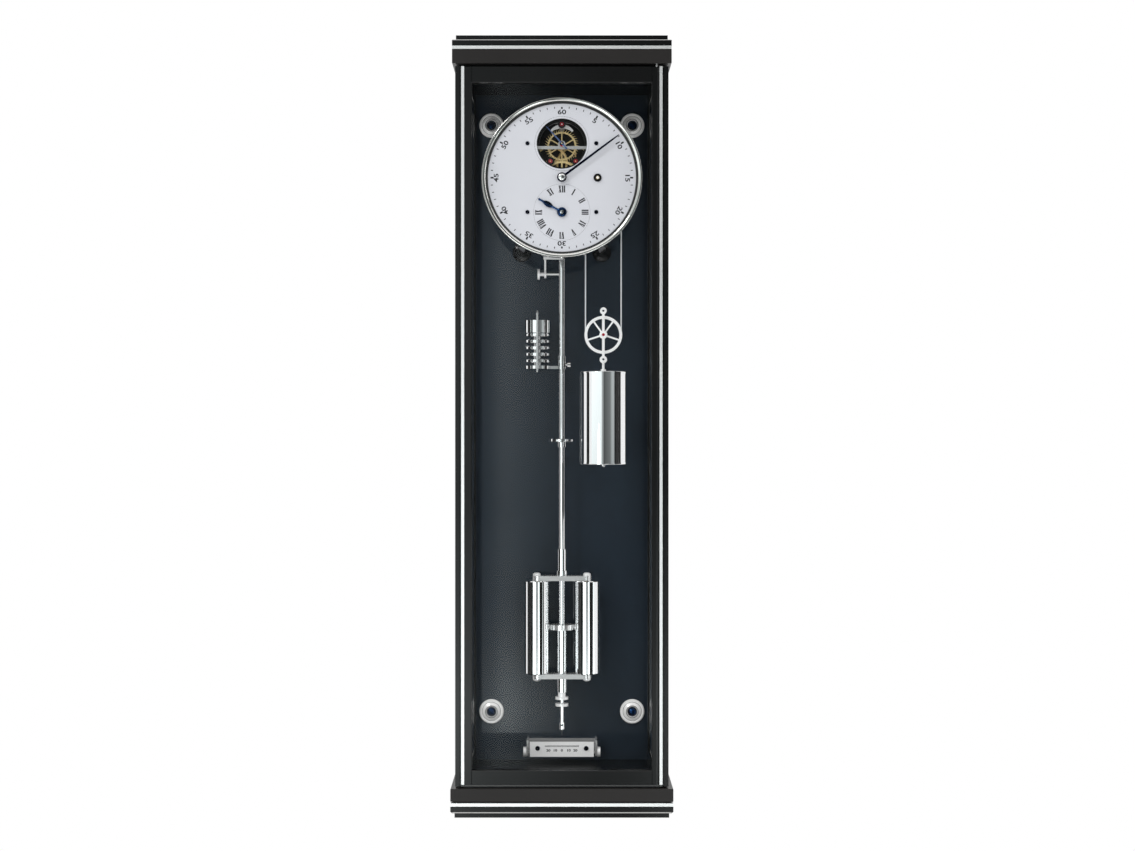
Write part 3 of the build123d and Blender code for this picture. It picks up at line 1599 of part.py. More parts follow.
with BuildPart() as pendulum_rod:
    rod_z(0, pendulum_depth, (rod_top - rod_head_height, rod_top), rod_head_radius)
    rod_z(0, pendulum_depth, (thread_top, rod_top - rod_head_height), rod_radius)
    rod_z(0, pendulum_depth, (thread_bottom, thread_top), thread_radius)
    turned_z(
        0,
        pendulum_depth,
        (
            (0, thread_bottom),
            (tip_radius, thread_bottom),
            (tip_radius, tip_bottom),
            (1.4, tip_bottom - 1.4),
            (0.5, tip_bottom - tip_cone),
            (0, tip_bottom - tip_cone),
        ),
    )
    rod_y((0, thread_bottom - 3.5), (pendulum_depth - 5, pendulum_depth + 5), 1.4, Mode.SUBTRACT)
    rod_x(
        (-rod_radius - 1, -rod_radius + 1.8),
        pendulum_depth,
        beat_screw_height,
        beat_screw_radius + slide_gap,
        Mode.SUBTRACT,
    )
keep(pendulum_rod, "pendulum_rod")

# ---- barometer: carrier with spindle, aneroid capsules and the drum on top ----
barometer_x = -barometer_offset
plate_top_height = barometer_base + barometer_plate_height
with BuildPart() as barometer:
    rod_z(barometer_x, pendulum_depth, (barometer_base, plate_top_height), capsule_radius + 0.4)
    block(
        (barometer_x, -rod_radius),
        (pendulum_depth - 3, pendulum_depth + 3),
        (barometer_base, plate_top_height),
    )
    clamp_heights = (barometer_base, barometer_base + clamp_height)
    clamp_screw_height = barometer_base + clamp_height / 3
    clamp_reach = rod_radius + 2 * clamp_wall
    rod_z(0, pendulum_depth, clamp_heights, rod_radius + clamp_wall)
    rod_x((0, clamp_reach), pendulum_depth, clamp_screw_height, clamp_screw_radius)
    rod_x(
        (clamp_reach, clamp_reach + clamp_knob_radius),
        pendulum_depth,
        clamp_screw_height,
        clamp_knob_radius,
    )
    rod_z(0, pendulum_depth, clamp_heights, rod_radius + seat_gap, Mode.SUBTRACT)
    guard_depth = pendulum_depth + capsule_radius + 0.4 + free_gap + guard_rod_radius
    block(
        (barometer_x - 2 * guard_rod_radius, barometer_x + 2 * guard_rod_radius),
        (pendulum_depth + capsule_radius - 2, guard_depth),
        (barometer_base, plate_top_height),
    )
    turned_z(
        barometer_x,
        guard_depth,
        (
            (0, barometer_base - 4),
            (guard_rod_radius, barometer_base - 4),
            (guard_rod_radius, barometer_base + spindle_rise - 5),
            (0.4, barometer_base + spindle_rise - 1),
            (0, barometer_base + spindle_rise - 1),
        ),
    )
    turned_z(
        barometer_x,
        pendulum_depth,
        (
            (0, barometer_base - 4),
            (spindle_radius, barometer_base - 4),
            (spindle_radius, barometer_base + spindle_rise - 6),
            (spindle_radius + 0.7, barometer_base + spindle_rise - 5),
            (spindle_radius + 0.7, barometer_base + spindle_rise - 3.5),
            (0.6, barometer_base + spindle_rise),
            (0, barometer_base + spindle_rise),
        ),
    )
    stack_bottom = plate_top_height + 0.05
    bore = spindle_radius + slide_gap
    for capsule in range(capsule_count):
        low = stack_bottom + capsule * (capsule_pitch + 0.05)
        neck = low + capsule_pitch - capsule_height
        turned_z(
            barometer_x,
            pendulum_depth,
            (
                (bore, low),
                (5.5, low),
                (5.5, neck),
                (capsule_radius - 0.8, neck),
                (capsule_radius, neck + 0.8),
                (capsule_radius, low + capsule_pitch - 0.8),
                (capsule_radius - 0.8, low + capsule_pitch),
                (bore, low + capsule_pitch),
            ),
        )
    drum_low = stack_bottom + capsule_count * (capsule_pitch + 0.05) + 0.6
    turned_z(
        barometer_x,
        pendulum_depth,
        (
            (bore, drum_low - 0.6),
            (6.0, drum_low - 0.6),
            (6.0, drum_low),
            (capsule_radius + 0.4, drum_low),
            (capsule_radius + 0.4, drum_low + barometer_drum_height),
            (bore, drum_low + barometer_drum_height),
        ),
    )
keep(barometer, "barometer")

with BuildPart() as regulating_table:
    turned_z(
        0,
        pendulum_depth,
        (
            (rod_radius + seat_gap, table_height),
            (table_radius - 0.6, table_height),
            (table_radius, table_height + 0.6),
            (table_radius, table_height + table_thickness - 0.6),
            (table_radius - 0.6, table_height + table_thickness),
            (rod_radius + seat_gap, table_height + table_thickness),
        ),
    )
    turned_z(
        0,
        pendulum_depth,
        (
            (rod_radius + seat_gap, table_height - table_collar_height),
            (table_collar_radius, table_height - table_collar_height),
            (table_collar_radius, table_height),
            (rod_radius + seat_gap, table_height),
        ),
    )
keep(regulating_table, "regulating_table")

# ---- bob: two cylinders held by yokes and bolts, hung at its middle on the compensation tube ----
with BuildPart() as bob_cylinders:
    for side in (-1, 1):
        rod_z(side * bob_offset, pendulum_depth, (bob_bottom, bob_top), bob_radius)
    rims = bob_cylinders.edges().filter_by(GeomType.CIRCLE)
    chamfer(rims, 1.0)
    for side in (-1, 1):
        rod_z(
            side * bob_offset,
            pendulum_depth,
            (bob_bottom, bob_top),
            bolt_radius + seat_gap,
            Mode.SUBTRACT,
        )
        inner_face = bob_offset - bob_radius
        pin_xs = sorted((side * (inner_face - 1), side * (inner_face + bridge_pin_length + 0.2)))
        rod_x(pin_xs, pendulum_depth, bob_centre, bridge_pin_radius + seat_gap, Mode.SUBTRACT)
keep(bob_cylinders, "bob_cylinders")

with BuildPart() as bob_yokes:
    for low, centre_hole in (
        (bob_top, rod_radius + slide_gap),
        (bob_bottom - yoke_thickness, tube_radius + slide_gap),
    ):
        with BuildSketch(Plane.XY.offset(low)) as yoke_section:
            with Locations((0, -pendulum_depth)):
                Rectangle(2 * yoke_half, yoke_width)
            fillet(yoke_section.vertices(), yoke_width * 0.36)
        extrude(yoke_section.sketch, amount=yoke_thickness)
        rod_z(0, pendulum_depth, (low, low + yoke_thickness), centre_hole, Mode.SUBTRACT)
        for side in (-1, 1):
            rod_z(
                side * bob_offset,
                pendulum_depth,
                (low, low + yoke_thickness),
                bolt_radius + seat_gap,
                Mode.SUBTRACT,
            )
    rod_z(0, pendulum_depth, (tube_top, tube_top + bridge_height), bridge_radius)
    pin_end = bob_offset - bob_radius + bridge_pin_length
    rod_x((-pin_end, pin_end), pendulum_depth, bob_centre, bridge_pin_radius)
    rod_z(
        0, pendulum_depth, (tube_top, tube_top + bridge_height), rod_radius + slide_gap, Mode.SUBTRACT
    )
keep(bob_yokes, "bob_yokes")

with BuildPart() as bob_bolts:
    for side in (-1, 1):
        x = side * bob_offset
        top_face = bob_top + yoke_thickness
        bottom_face = bob_bottom - yoke_thickness
        rod_z(x, pendulum_depth, (bottom_face - 1, top_face + 1), bolt_radius)
        for face, outward in ((top_face, 1), (bottom_face, -1)):
            turned_z(
                x,
                pendulum_depth,
                (
                    (0, face),
                    (bob_nut_radius, face),
                    (bob_nut_radius, face + outward * bob_nut_height * 0.6),
                    (bob_nut_radius * 0.6, face + outward * bob_nut_height),
                    (0, face + outward * bob_nut_height),
                ),
            )
keep(bob_bolts, "bob_bolts")

with BuildPart() as bob_tubes:
    collar_bottom = bob_top + yoke_thickness
    bore = rod_radius + slide_gap
    turned_z(
        0,
        pendulum_depth,
        (
            (bore, collar_bottom),
            (sleeve_collar_radius, collar_bottom),
            (sleeve_collar_radius, collar_bottom + sleeve_collar_height),
            (sleeve_radius, collar_bottom + sleeve_collar_height),
            (sleeve_radius, collar_bottom + sleeve_collar_height + sleeve_height),
            (bore, collar_bottom + sleeve_collar_height + sleeve_height),
        ),
    )
    rod_z(0, pendulum_depth, (tube_bottom, tube_top), tube_radius)
    rod_z(0, pendulum_depth, (tube_bottom, tube_top), bore, Mode.SUBTRACT)
keep(bob_tubes, "bob_tubes")

# ---- rating nut under the tube and its lock nut ----
with BuildPart() as rating_nuts:
    bore = thread_radius + slide_gap
    for top_height, hub_height in ((nut_top, nut_hub_height), (lock_nut_top, 0)):
        disc_top = top_height - hub_height
        if hub_height:
            rod_z(0, pendulum_depth, (disc_top, top_height), nut_hub_radius)
        rod_z(0, pendulum_depth, (disc_top - rating_nut_height, disc_top), rating_nut_radius)
    rod_z(
        0, pendulum_depth, (lock_nut_top - rating_nut_height, nut_top), bore, Mode.SUBTRACT
    )
keep(rating_nuts, "rating_nuts")

# ---- beat scale, its bracket and its knurled spindle ----
with BuildPart() as beat_scale:
    block(
        (-scale_half_length, scale_half_length),
        (scale_back, scale_front),
        (scale_bottom, scale_bottom + scale_height),
    )
    block((-5, 5), (scale_back - 7.5, scale_back), (scale_bottom + 1, spindle_height + 2.4))
    rod_x(
        (-5, 5),
        scale_back - 3.5,
        spindle_height,
        scale_spindle_radius + pivot_gap,
        Mode.SUBTRACT,
    )
    for side in (-1, 1):
        with BuildSketch(Plane.XZ.offset(scale_back)) as slot_section:
            with Locations((side * scale_screw_offset, scale_screw_height)):
                SlotCenterToCenter(2 * scale_travel + 0.4, 2 * scale_screw_radius + 0.3)
        extrude(slot_section.sketch, amount=scale_thickness, mode=Mode.SUBTRACT)
keep(beat_scale, "beat_scale")

arm_inner = scale_half_length + scale_travel + free_gap
arm_outer = arm_inner + arm_thickness
with BuildPart() as scale_bracket:
    block(
        (-arm_outer, arm_outer),
        (panel_front, panel_front + 4),
        (scale_bottom - 1, scale_bottom + scale_height),
    )
    for side in (-1, 1):
        block(
            sorted((side * arm_inner, side * arm_outer)),
            (panel_front, scale_front + 1),
            (spindle_height - 4, scale_bottom + scale_height + 2.3),
        )
    block(
        (-arm_outer, arm_outer),
        (scale_back - 6, scale_back - free_gap),
        (spindle_height + 2.8, scale_screw_height + 5),
    )
    for side in (-1, 1):
        rod_x(
            sorted((side * (arm_inner - 1), side * (arm_outer + 1))),
            scale_back - 3.5,
            spindle_height,
            scale_spindle_radius + pivot_gap,
            Mode.SUBTRACT,
        )
        rod_y(
            (side * scale_screw_offset, scale_screw_height),
            (scale_back - 5, scale_back),
            scale_screw_radius + seat_gap,
            Mode.SUBTRACT,
        )
keep(scale_bracket, "scale_bracket")

with BuildPart() as scale_spindle:
    rod_x(
        (-arm_outer - thumb_width, arm_outer + thumb_width),
        scale_back - 3.5,
        spindle_height,
        scale_spindle_radius,
    )
    for side in (-1, 1):
        knob_near = side * (arm_outer + free_gap)
        knob_far = side * (arm_outer + free_gap + thumb_width)
        rod_x(sorted((knob_near, knob_far)), scale_back - 3.5, spindle_height, thumb_radius)
keep(scale_spindle, "scale_spindle")
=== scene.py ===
"""Dressed studio scene of a wall regulator clock in a black lacquered case."""

from __future__ import annotations

import logging
import math
from dataclasses import dataclass, field
from enum import Enum
from functools import cache, cached_property
from typing import Callable, Iterable, Sequence

import bmesh
import bpy
from mathutils import Matrix, Vector

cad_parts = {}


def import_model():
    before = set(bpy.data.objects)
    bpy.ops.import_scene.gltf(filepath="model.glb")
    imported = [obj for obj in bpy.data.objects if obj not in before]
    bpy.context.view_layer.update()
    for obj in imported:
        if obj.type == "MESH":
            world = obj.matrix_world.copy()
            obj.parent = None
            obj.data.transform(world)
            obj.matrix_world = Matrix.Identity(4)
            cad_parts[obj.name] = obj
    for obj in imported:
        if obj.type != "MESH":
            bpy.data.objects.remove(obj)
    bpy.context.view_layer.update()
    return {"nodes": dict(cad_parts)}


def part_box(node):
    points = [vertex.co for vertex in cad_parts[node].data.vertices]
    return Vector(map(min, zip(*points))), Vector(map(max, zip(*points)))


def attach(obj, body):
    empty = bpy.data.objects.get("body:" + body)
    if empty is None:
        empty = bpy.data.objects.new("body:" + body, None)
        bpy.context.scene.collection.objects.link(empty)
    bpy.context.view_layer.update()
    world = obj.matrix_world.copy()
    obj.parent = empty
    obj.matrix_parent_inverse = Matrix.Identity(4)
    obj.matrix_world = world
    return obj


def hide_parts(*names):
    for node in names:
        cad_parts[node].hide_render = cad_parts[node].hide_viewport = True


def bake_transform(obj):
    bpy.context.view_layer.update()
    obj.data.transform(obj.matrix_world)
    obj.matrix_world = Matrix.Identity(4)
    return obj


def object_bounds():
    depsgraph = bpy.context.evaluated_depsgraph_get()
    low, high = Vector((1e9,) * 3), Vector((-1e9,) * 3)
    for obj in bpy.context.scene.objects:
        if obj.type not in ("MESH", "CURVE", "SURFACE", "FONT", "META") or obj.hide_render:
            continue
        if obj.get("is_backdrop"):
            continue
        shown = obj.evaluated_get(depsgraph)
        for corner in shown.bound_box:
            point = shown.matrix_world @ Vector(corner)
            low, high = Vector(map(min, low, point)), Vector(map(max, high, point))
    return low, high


LOG = logging.getLogger("regulator")
MM = 0.001

Point2 = tuple[float, float]
Point3 = tuple[float, float, float]
Outline = tuple[Point2, ...]
Feeds = dict[str | int, object]
Mesh = bpy.types.Mesh
Node = bpy.types.Node
Socket = bpy.types.NodeSocket
Tree = bpy.types.NodeTree


# ---------------------------------------------------------------- node sheets


class NodeSheet:
    """A node tree with short calls that add and join its nodes."""

    columns = 12
    cell = (180, -220)

    def __init__(self, tree: Tree) -> None:
        """Keep the tree."""
        self.tree = tree

    def feed(self, node: Node, feeds: Feeds) -> None:
        """Join a node's inputs to sockets, or give them plain values.

        Args:
            node: The node to feed.
            feeds: A socket or a value for each input, by its name or place.
        """
        for key, source in feeds.items():
            if isinstance(source, Socket):
                self.tree.links.new(source, node.inputs[key])
            else:
                node.inputs[key].default_value = source

    def add(self, kind: str, feeds: Feeds | None = None, **settings: object) -> Node:
        """Add a node.

        Args:
            kind: The node's type name.
            feeds: A socket or a value for each input, by its name or place.
            settings: Property values, by name.

        Returns:
            The new node.
        """
        node = self.tree.nodes.new(kind)
        row, column = divmod(len(self.tree.nodes), self.columns)
        node.location = (self.cell[0] * column, self.cell[1] * row)
        for key, value in settings.items():
            setattr(node, key, value)
        self.feed(node, feeds or {})
        return node

    def math(self, operation: str, first: object, second: object) -> Socket:
        """Add a Math node."""
        return self.add("ShaderNodeMath", {0: first, 1: second}, operation=operation).outputs[0]

    def vector(self, operation: str, *inputs: object) -> Socket:
        """Add a Vector Math node."""
        node = self.add("ShaderNodeVectorMath", dict(enumerate(inputs)), operation=operation)
        return node.outputs["Value" if operation == "LENGTH" else "Vector"]

    def split(self, vector: Socket) -> dict[str, Socket]:
        """Take a vector apart."""
        return self.add("ShaderNodeSeparateXYZ", {0: vector}).outputs

    def remap(self, value: object, old: Point2 = (0.0, 1.0), new: Point2 = (0.0, 1.0)) -> Socket:
        """Stretch a value from one range over another, and hold it at the ends.

        Args:
            value: The value to stretch.
            old: The range it has.
            new: What that range becomes.

        Returns:
            The stretched value.
        """
        return self.add("ShaderNodeMapRange", {
            "Value": value, "From Min": old[0], "From Max": old[1],
            "To Min": new[0], "To Max": new[1],
        }).outputs["Result"]

    def blend(self, factor: object, *colours: Point3 | Socket) -> Socket:
        """Mix two colours.

        Args:
            factor: How much of the second colour shows.
            colours: The two colours.

        Returns:
            The mixed colour.
        """
        first, second = ((*colour, 1.0) if isinstance(colour, tuple) else colour
                         for colour in colours)
        node = self.add("ShaderNodeMix", {"Factor": factor, 6: first, 7: second},
                        data_type="RGBA")
        return node.outputs[2]

    def ramp(self, value: Socket, stops: Sequence[tuple[float, Point3]]) -> Socket:
        """Look a value up in a row of colours.

        Args:
            value: The value, 0 to 1.
            stops: Place and colour of each stop, in order.

        Returns:
            The colour found.
        """
        node = self.add("ShaderNodeValToRGB", {"Fac": value})
        elements = node.color_ramp.elements
        while len(elements) < len(stops):
            elements.new(0.5)
        for element, (place, _) in zip(elements, stops):
            element.position = place
        for element, (_, colour) in zip(elements, stops):
            element.color = (*colour, 1.0)
        return node.outputs["Color"]

    def close(self, feeds: Feeds) -> Tree:
        """Feed a group's outputs."""
        self.add("NodeGroupOutput", feeds)
        return self.tree


def open_group(
    kind: str, name: str, inputs: dict[str, str], outputs: dict[str, str]
) -> tuple[NodeSheet, dict[str, Socket]]:
    """Open a new node group with its sockets.

    Args:
        kind: The tree's type name.
        name: The group's name.
        inputs: Kind of each input socket, by name.
        outputs: Kind of each output socket, by name.

    Returns:
        The group's sheet, and what it is given, by name.
    """
    tree = bpy.data.node_groups.new(name, kind)
    for way, sockets in (("INPUT", inputs), ("OUTPUT", outputs)):
        for label, socket in sockets.items():
            tree.interface.new_socket(name=label, in_out=way, socket_type=f"NodeSocket{socket}")
    sheet = NodeSheet(tree)
    return sheet, sheet.add("NodeGroupInput").outputs


def blank_sheet(owner: bpy.types.Material | bpy.types.World) -> NodeSheet:
    """Clear the nodes of a material or a world.

    Args:
        owner: What has the nodes.

    Returns:
        The empty sheet.
    """
    owner.use_nodes = True
    owner.node_tree.nodes.clear()
    return NodeSheet(owner.node_tree)


class Direction(Enum):
    """Which way the fine lines of a finish run, as the stretch of their noise."""

    ACROSS = (3.0, 260.0, 700.0)
    GRAIN = (1500.0, 1500.0, 1500.0)
    ROUND = (0.0, 0.0, 0.0)


class PatternBook:
    """The shader node groups that the finishes share, each built on first use."""

    dust_scale = 14.0
    dust_size = 0.07

    @cached_property
    def lines(self) -> Tree:
        """Fine lines or grain, from noise stretched along one way."""
        sheet, given = open_group("ShaderNodeTree", "fine_lines",
                                  {"Vector": "Vector", "Stretch": "Vector"}, {"Height": "Float"})
        stretched = sheet.vector("MULTIPLY", given["Vector"], given["Stretch"])
        noise = sheet.add("ShaderNodeTexNoise",
                          {"Vector": stretched, "Scale": 1.0, "Detail": 3.0})
        return sheet.close({"Height": noise.outputs["Fac"]})

    @cached_property
    def rings(self) -> Tree:
        """Lathe lines round an axis that faces the viewer, one in each quarter."""
        sheet, given = open_group("ShaderNodeTree", "lathe_rings",
                                  {"Vector": "Vector", "Centre": "Vector", "Pitch": "Float"},
                                  {"Height": "Float"})
        offset = sheet.vector("SUBTRACT", sheet.vector("ABSOLUTE", given["Vector"]),
                              given["Centre"])
        radius = sheet.vector("LENGTH", sheet.vector("MULTIPLY", offset, (1.0, 0.0, 1.0)))
        turns = sheet.math("DIVIDE", radius, given["Pitch"])
        noise = sheet.add("ShaderNodeTexNoise", {"W": turns, "Scale": 1.0, "Detail": 2.0},
                          noise_dimensions="1D")
        return sheet.close({"Height": noise.outputs["Fac"]})

    @cached_property
    def handling(self) -> Tree:
        """Faint clouding from handling, and sparse dust."""
        sheet, given = open_group("ShaderNodeTree", "handling",
                                  {"Vector": "Vector", "Scale": "Float"},
                                  {"Clouding": "Float", "Dust": "Float"})
        noise = sheet.add("ShaderNodeTexNoise",
                          {"Vector": given["Vector"], "Scale": given["Scale"], "Detail": 4.0})
        scale = sheet.math("MULTIPLY", given["Scale"], self.dust_scale)
        specks = sheet.add("ShaderNodeTexVoronoi", {"Vector": given["Vector"], "Scale": scale})
        near = sheet.math("LESS_THAN", specks.outputs["Distance"], self.dust_size)
        return sheet.close({"Clouding": noise.outputs["Fac"], "Dust": near})


PATTERNS = PatternBook()


# ------------------------------------------------------------------- finishes


@dataclass(frozen=True)
class Finish:
    """A lacquer, metal, ink or stone, with its fine surface."""

    name: str
    slot: str  # the record's material slot that it stands for
    colour: Point3
    second: Point3  # what clouding drifts towards
    roughness: float
    spread: float  # what clouding adds to the roughness
    metallic: float = 0.0
    ior: float = 1.5
    coat: float = 0.0
    coat_roughness: float = 0.04
    lines: Direction = Direction.GRAIN
    relief: float = 2e-6  # height of the fine lines in metres
    pitch: float = 0.0006  # width of a lathe line in metres
    centre: Point3 = (0.0, 0.0, 0.0)  # middle of the lathe lines, upper right
    cloud_scale: float = 9.0
    transmission: float = 0.0
    dust: float = 0.02  # what a speck of dust adds to the roughness
    painted_shade_heights: Point2 | None = None  # heights between which painted shade darkens the metal
    painted_shade_colour: Point3 = (0.10, 0.10, 0.10)

    def place_lines(self, sheet: NodeSheet, vector: Socket) -> Socket:
        """Add the fine lines of this finish.

        Args:
            sheet: The material's sheet.
            vector: Object coordinates.

        Returns:
            The height of the lines, 0 to 1.
        """
        if self.lines is Direction.ROUND:
            tree, feeds = PATTERNS.rings, {"Centre": self.centre, "Pitch": self.pitch}
        else:
            tree, feeds = PATTERNS.lines, {"Stretch": self.lines.value}
        node = sheet.add("ShaderNodeGroup", {"Vector": vector, **feeds}, node_tree=tree)
        return node.outputs["Height"]

    def surface(self, sheet: NodeSheet, shaded: Socket) -> Socket:
        """Say what the material's output gets."""
        return shaded

    def build(self) -> bpy.types.Material:
        """Make the material.

        Returns:
            The finished material.
        """
        material = bpy.data.materials.new(self.name)
        sheet = blank_sheet(material)
        vector = sheet.add("ShaderNodeTexCoord").outputs["Object"]
        handled = sheet.add("ShaderNodeGroup", {"Vector": vector, "Scale": self.cloud_scale},
                            node_tree=PATTERNS.handling).outputs
        tint = sheet.blend(handled["Clouding"], self.colour, self.second)
        # painted shade: between the two heights the colour turns to the shade colour
        if self.painted_shade_heights is not None:
            height = sheet.split(vector)["Z"]
            above = sheet.math("GREATER_THAN", height, self.painted_shade_heights[0])
            below = sheet.math("LESS_THAN", height, self.painted_shade_heights[1])
            tint = sheet.blend(sheet.math("MULTIPLY", above, below), tint, self.painted_shade_colour)
        shader = sheet.add("ShaderNodeBsdfPrincipled", {
            "Base Color": tint, "Metallic": self.metallic, "IOR": self.ior,
            "Roughness": self.roughness, "Transmission Weight": self.transmission,
            "Coat Weight": self.coat, "Coat Roughness": self.coat_roughness,
        })
        if self.spread or self.dust:
            rough = sheet.remap(handled["Clouding"],
                                new=(self.roughness, self.roughness + self.spread))
            dusted = sheet.math("MULTIPLY", handled["Dust"], self.dust)
            sheet.feed(shader, {"Roughness": sheet.math("ADD", rough, dusted)})
        if self.relief:
            bump = sheet.add("ShaderNodeBump", {
                "Strength": 1.0, "Distance": self.relief,
                "Height": self.place_lines(sheet, vector),
            })
            sheet.feed(shader, {"Normal": bump.outputs["Normal"]})
        sheet.add("ShaderNodeOutputMaterial",
                  {"Surface": self.surface(sheet, shader.outputs["BSDF"])})
        return material


@dataclass(frozen=True)
class Glass(Finish):
    """Clear flat glass that lets lamp light through to what is behind it."""

    def surface(self, sheet: NodeSheet, shaded: Socket) -> Socket:
        """Mix in a clear path for shadow, diffuse and mirrored rays.

        Args:
            sheet: The material's sheet.
            shaded: What the shader gives.

        Returns:
            The mix.
        """
        path = sheet.add("ShaderNodeLightPath").outputs
        loose = sheet.math("MAXIMUM", path["Is Shadow Ray"], path["Is Diffuse Ray"])
        mirrored = sheet.math("SUBTRACT", path["Is Glossy Ray"], path["Is Transmission Ray"])
        loose = sheet.math("MAXIMUM", loose, mirrored)
        clear = sheet.add("ShaderNodeBsdfTransparent").outputs["BSDF"]
        return sheet.add("ShaderNodeMixShader", {0: loose, 1: shaded, 2: clear}).outputs["Shader"]


@dataclass(frozen=True)
class Strand(Finish):
    """Fine stranded wire line that runs up and down."""

    lay: float = 900.0  # how closely the strands are laid

    def place_lines(self, sheet: NodeSheet, vector: Socket) -> Socket:
        """Add a slanting lay of strands."""
        return sheet.add("ShaderNodeTexWave", {"Vector": vector, "Scale": self.lay},
                         bands_direction="DIAGONAL").outputs["Fac"]


def grey(level: float) -> Point3:
    """A colour with all its parts alike."""
    return (level, level, level)


# name, slot, colour, second colour, roughness, spread
LACQUER = Finish("lacquer_satin", "black_lacquer", (0.0035, 0.0042, 0.0045), grey(0.006),
                 0.14, 0.06, lines=Direction.ACROSS, relief=1e-6)
BRUSHED_LACQUER = Finish("lacquer_brushed", "black_lacquer", (0.015, 0.0135, 0.013),
                         (0.025, 0.023, 0.022), 0.3, 0.1, ior=1.3, lines=Direction.ACROSS,
                         relief=1.2e-5)
# painted highlight: a light grey that stands for the gleam on the chamfers of the crown and base
# boards
PAINTED_HIGHLIGHT = Finish("lacquer_painted_highlight", "black_lacquer", (0.62, 0.61, 0.60), (0.50, 0.50, 0.49),
                   0.3, 0.1)
PANEL = Finish("panel_gloss", "dark_panel", (0.017, 0.024, 0.034), (0.019, 0.028, 0.038),
               0.0, 0.0, relief=0.0, dust=0.0)
BEAD = Finish("bead_black", "black_lacquer", grey(0.008), grey(0.012), 0.35, 0.1)
CASTING = Finish("casting_black", "black_steel", (0.005, 0.0055, 0.006), (0.008, 0.008, 0.009),
                 0.09, 0.06, ior=1.6, relief=4e-6)
DOOR_GLASS = Glass("glass_clear", "clear_glass", (0.985, 0.995, 0.99), (0.99, 1.0, 1.0),
                   0.0, 0.0, ior=1.2, transmission=1.0, relief=0.0, dust=0.0)
# the band's stretch between two heights at the foot of the door is darkened as painted shade
BAND = Finish("steel_band", "polished_steel", (0.98, 0.98, 0.975), (0.95, 0.95, 0.945),
              0.38, 0.08, metallic=1.0, lines=Direction.ACROSS, relief=3e-6,
              painted_shade_heights=(-0.4655, -0.4618))
SATIN = Finish("steel_satin", "steel", grey(0.98), grey(0.95), 0.26, 0.10, metallic=0.2,
               relief=3e-6, cloud_scale=30.0)
SCALE_WHITE = Finish("scale_silvered", "silvered_dial", grey(1.0), grey(0.98), 0.22, 0.08,
                     relief=6e-6, cloud_scale=40.0)
TURNED = Finish("steel_turned", "polished_steel", (1.0, 0.99, 0.975), (0.97, 0.96, 0.95),
                0.20, 0.10, metallic=0.1, lines=Direction.ROUND, relief=1e-5,
                centre=(0.094, 0.0, 0.3915))
POLISHED = Finish("steel_polished", "polished_steel", (0.83, 0.83, 0.82), (0.76, 0.76, 0.755),
                  0.035, 0.05, metallic=1.0, lines=Direction.ACROSS, relief=1.5e-6)
NICKEL = Finish("nickel_polished", "nickel", (0.86, 0.85, 0.82), (0.80, 0.79, 0.76),
                0.03, 0.04, metallic=1.0, relief=0.0)
# black for the ring of painted shade in the bezel's recess
SHADOW_BLACK = Finish("painted_shade_black", "black_steel", grey(0.012), grey(0.02), 0.4, 0.1)
CHROME = Finish("chrome_polished", "polished_steel", (0.90, 0.905, 0.91), (0.86, 0.86, 0.87),
                0.01, 0.02, metallic=1.0, relief=0.0)
DARK_NICKEL = Finish("nickel_black", "black_steel", (0.045, 0.043, 0.042), grey(0.03),
                     0.28, 0.1, metallic=1.0, relief=3e-6)
GILT = Finish("brass_gilt", "brass", (1.0, 0.80, 0.42), (0.96, 0.72, 0.34), 0.22, 0.10,
              metallic=0.6, cloud_scale=60.0)
STEEL = Finish("steel_fine", "steel", grey(0.80), grey(0.70), 0.16, 0.08, metallic=0.7,
               cloud_scale=40.0)
BLUED = Finish("steel_blued", "blued_steel", (0.006, 0.030, 0.095), (0.008, 0.02, 0.06),
               0.10, 0.08, metallic=1.0, relief=1.5e-6, cloud_scale=90.0)
BLUE_BLACK = Finish("steel_blue_black", "black_hand", (0.006, 0.010, 0.030),
                    (0.008, 0.009, 0.02), 0.22, 0.08, metallic=1.0, relief=1.5e-6,
                    cloud_scale=90.0)
BLUE_GREY = Finish("steel_blue_grey", "blued_steel", (0.045, 0.085, 0.20), (0.03, 0.06, 0.15),
                   0.25, 0.1, metallic=0.3, cloud_scale=90.0)
SILVERED = Finish("dial_silvered", "silvered_dial", (0.67, 0.675, 0.72), (0.63, 0.635, 0.68),
                  0.45, 0.1, metallic=0.15, relief=1.2e-5, cloud_scale=30.0)
INK = Finish("ink_black", "black_hand", (0.012, 0.012, 0.016), (0.03, 0.03, 0.034), 0.55, 0.1,
             ior=1.3, cloud_scale=400.0)
INK_PALE = Finish("ink_grey", "black_hand", (0.10, 0.10, 0.12), (0.16, 0.16, 0.18), 0.55, 0.1,
                  cloud_scale=400.0)
RUBY = Finish("ruby", "ruby", (0.55, 0.015, 0.04), (0.42, 0.01, 0.03), 0.05, 0.03, ior=1.76,
              coat=1.0, transmission=0.35, relief=0.0)
WIRE = Strand("wire_line", "line", (0.88, 0.88, 0.90), (0.80, 0.80, 0.82), 0.3, 0.1,
              metallic=0.5, relief=1e-5, cloud_scale=200.0)
FLOOR_PALE = Finish("floor_pale", "studio", grey(0.86), grey(0.82), 0.6, 0.1, relief=5e-5,
                    cloud_scale=2.0)


@cache
def material_of(finish: Finish) -> bpy.types.Material:
    """Return the material of a finish, made on first use."""
    return finish.build()


# ------------------------------------------------------------------- meshing

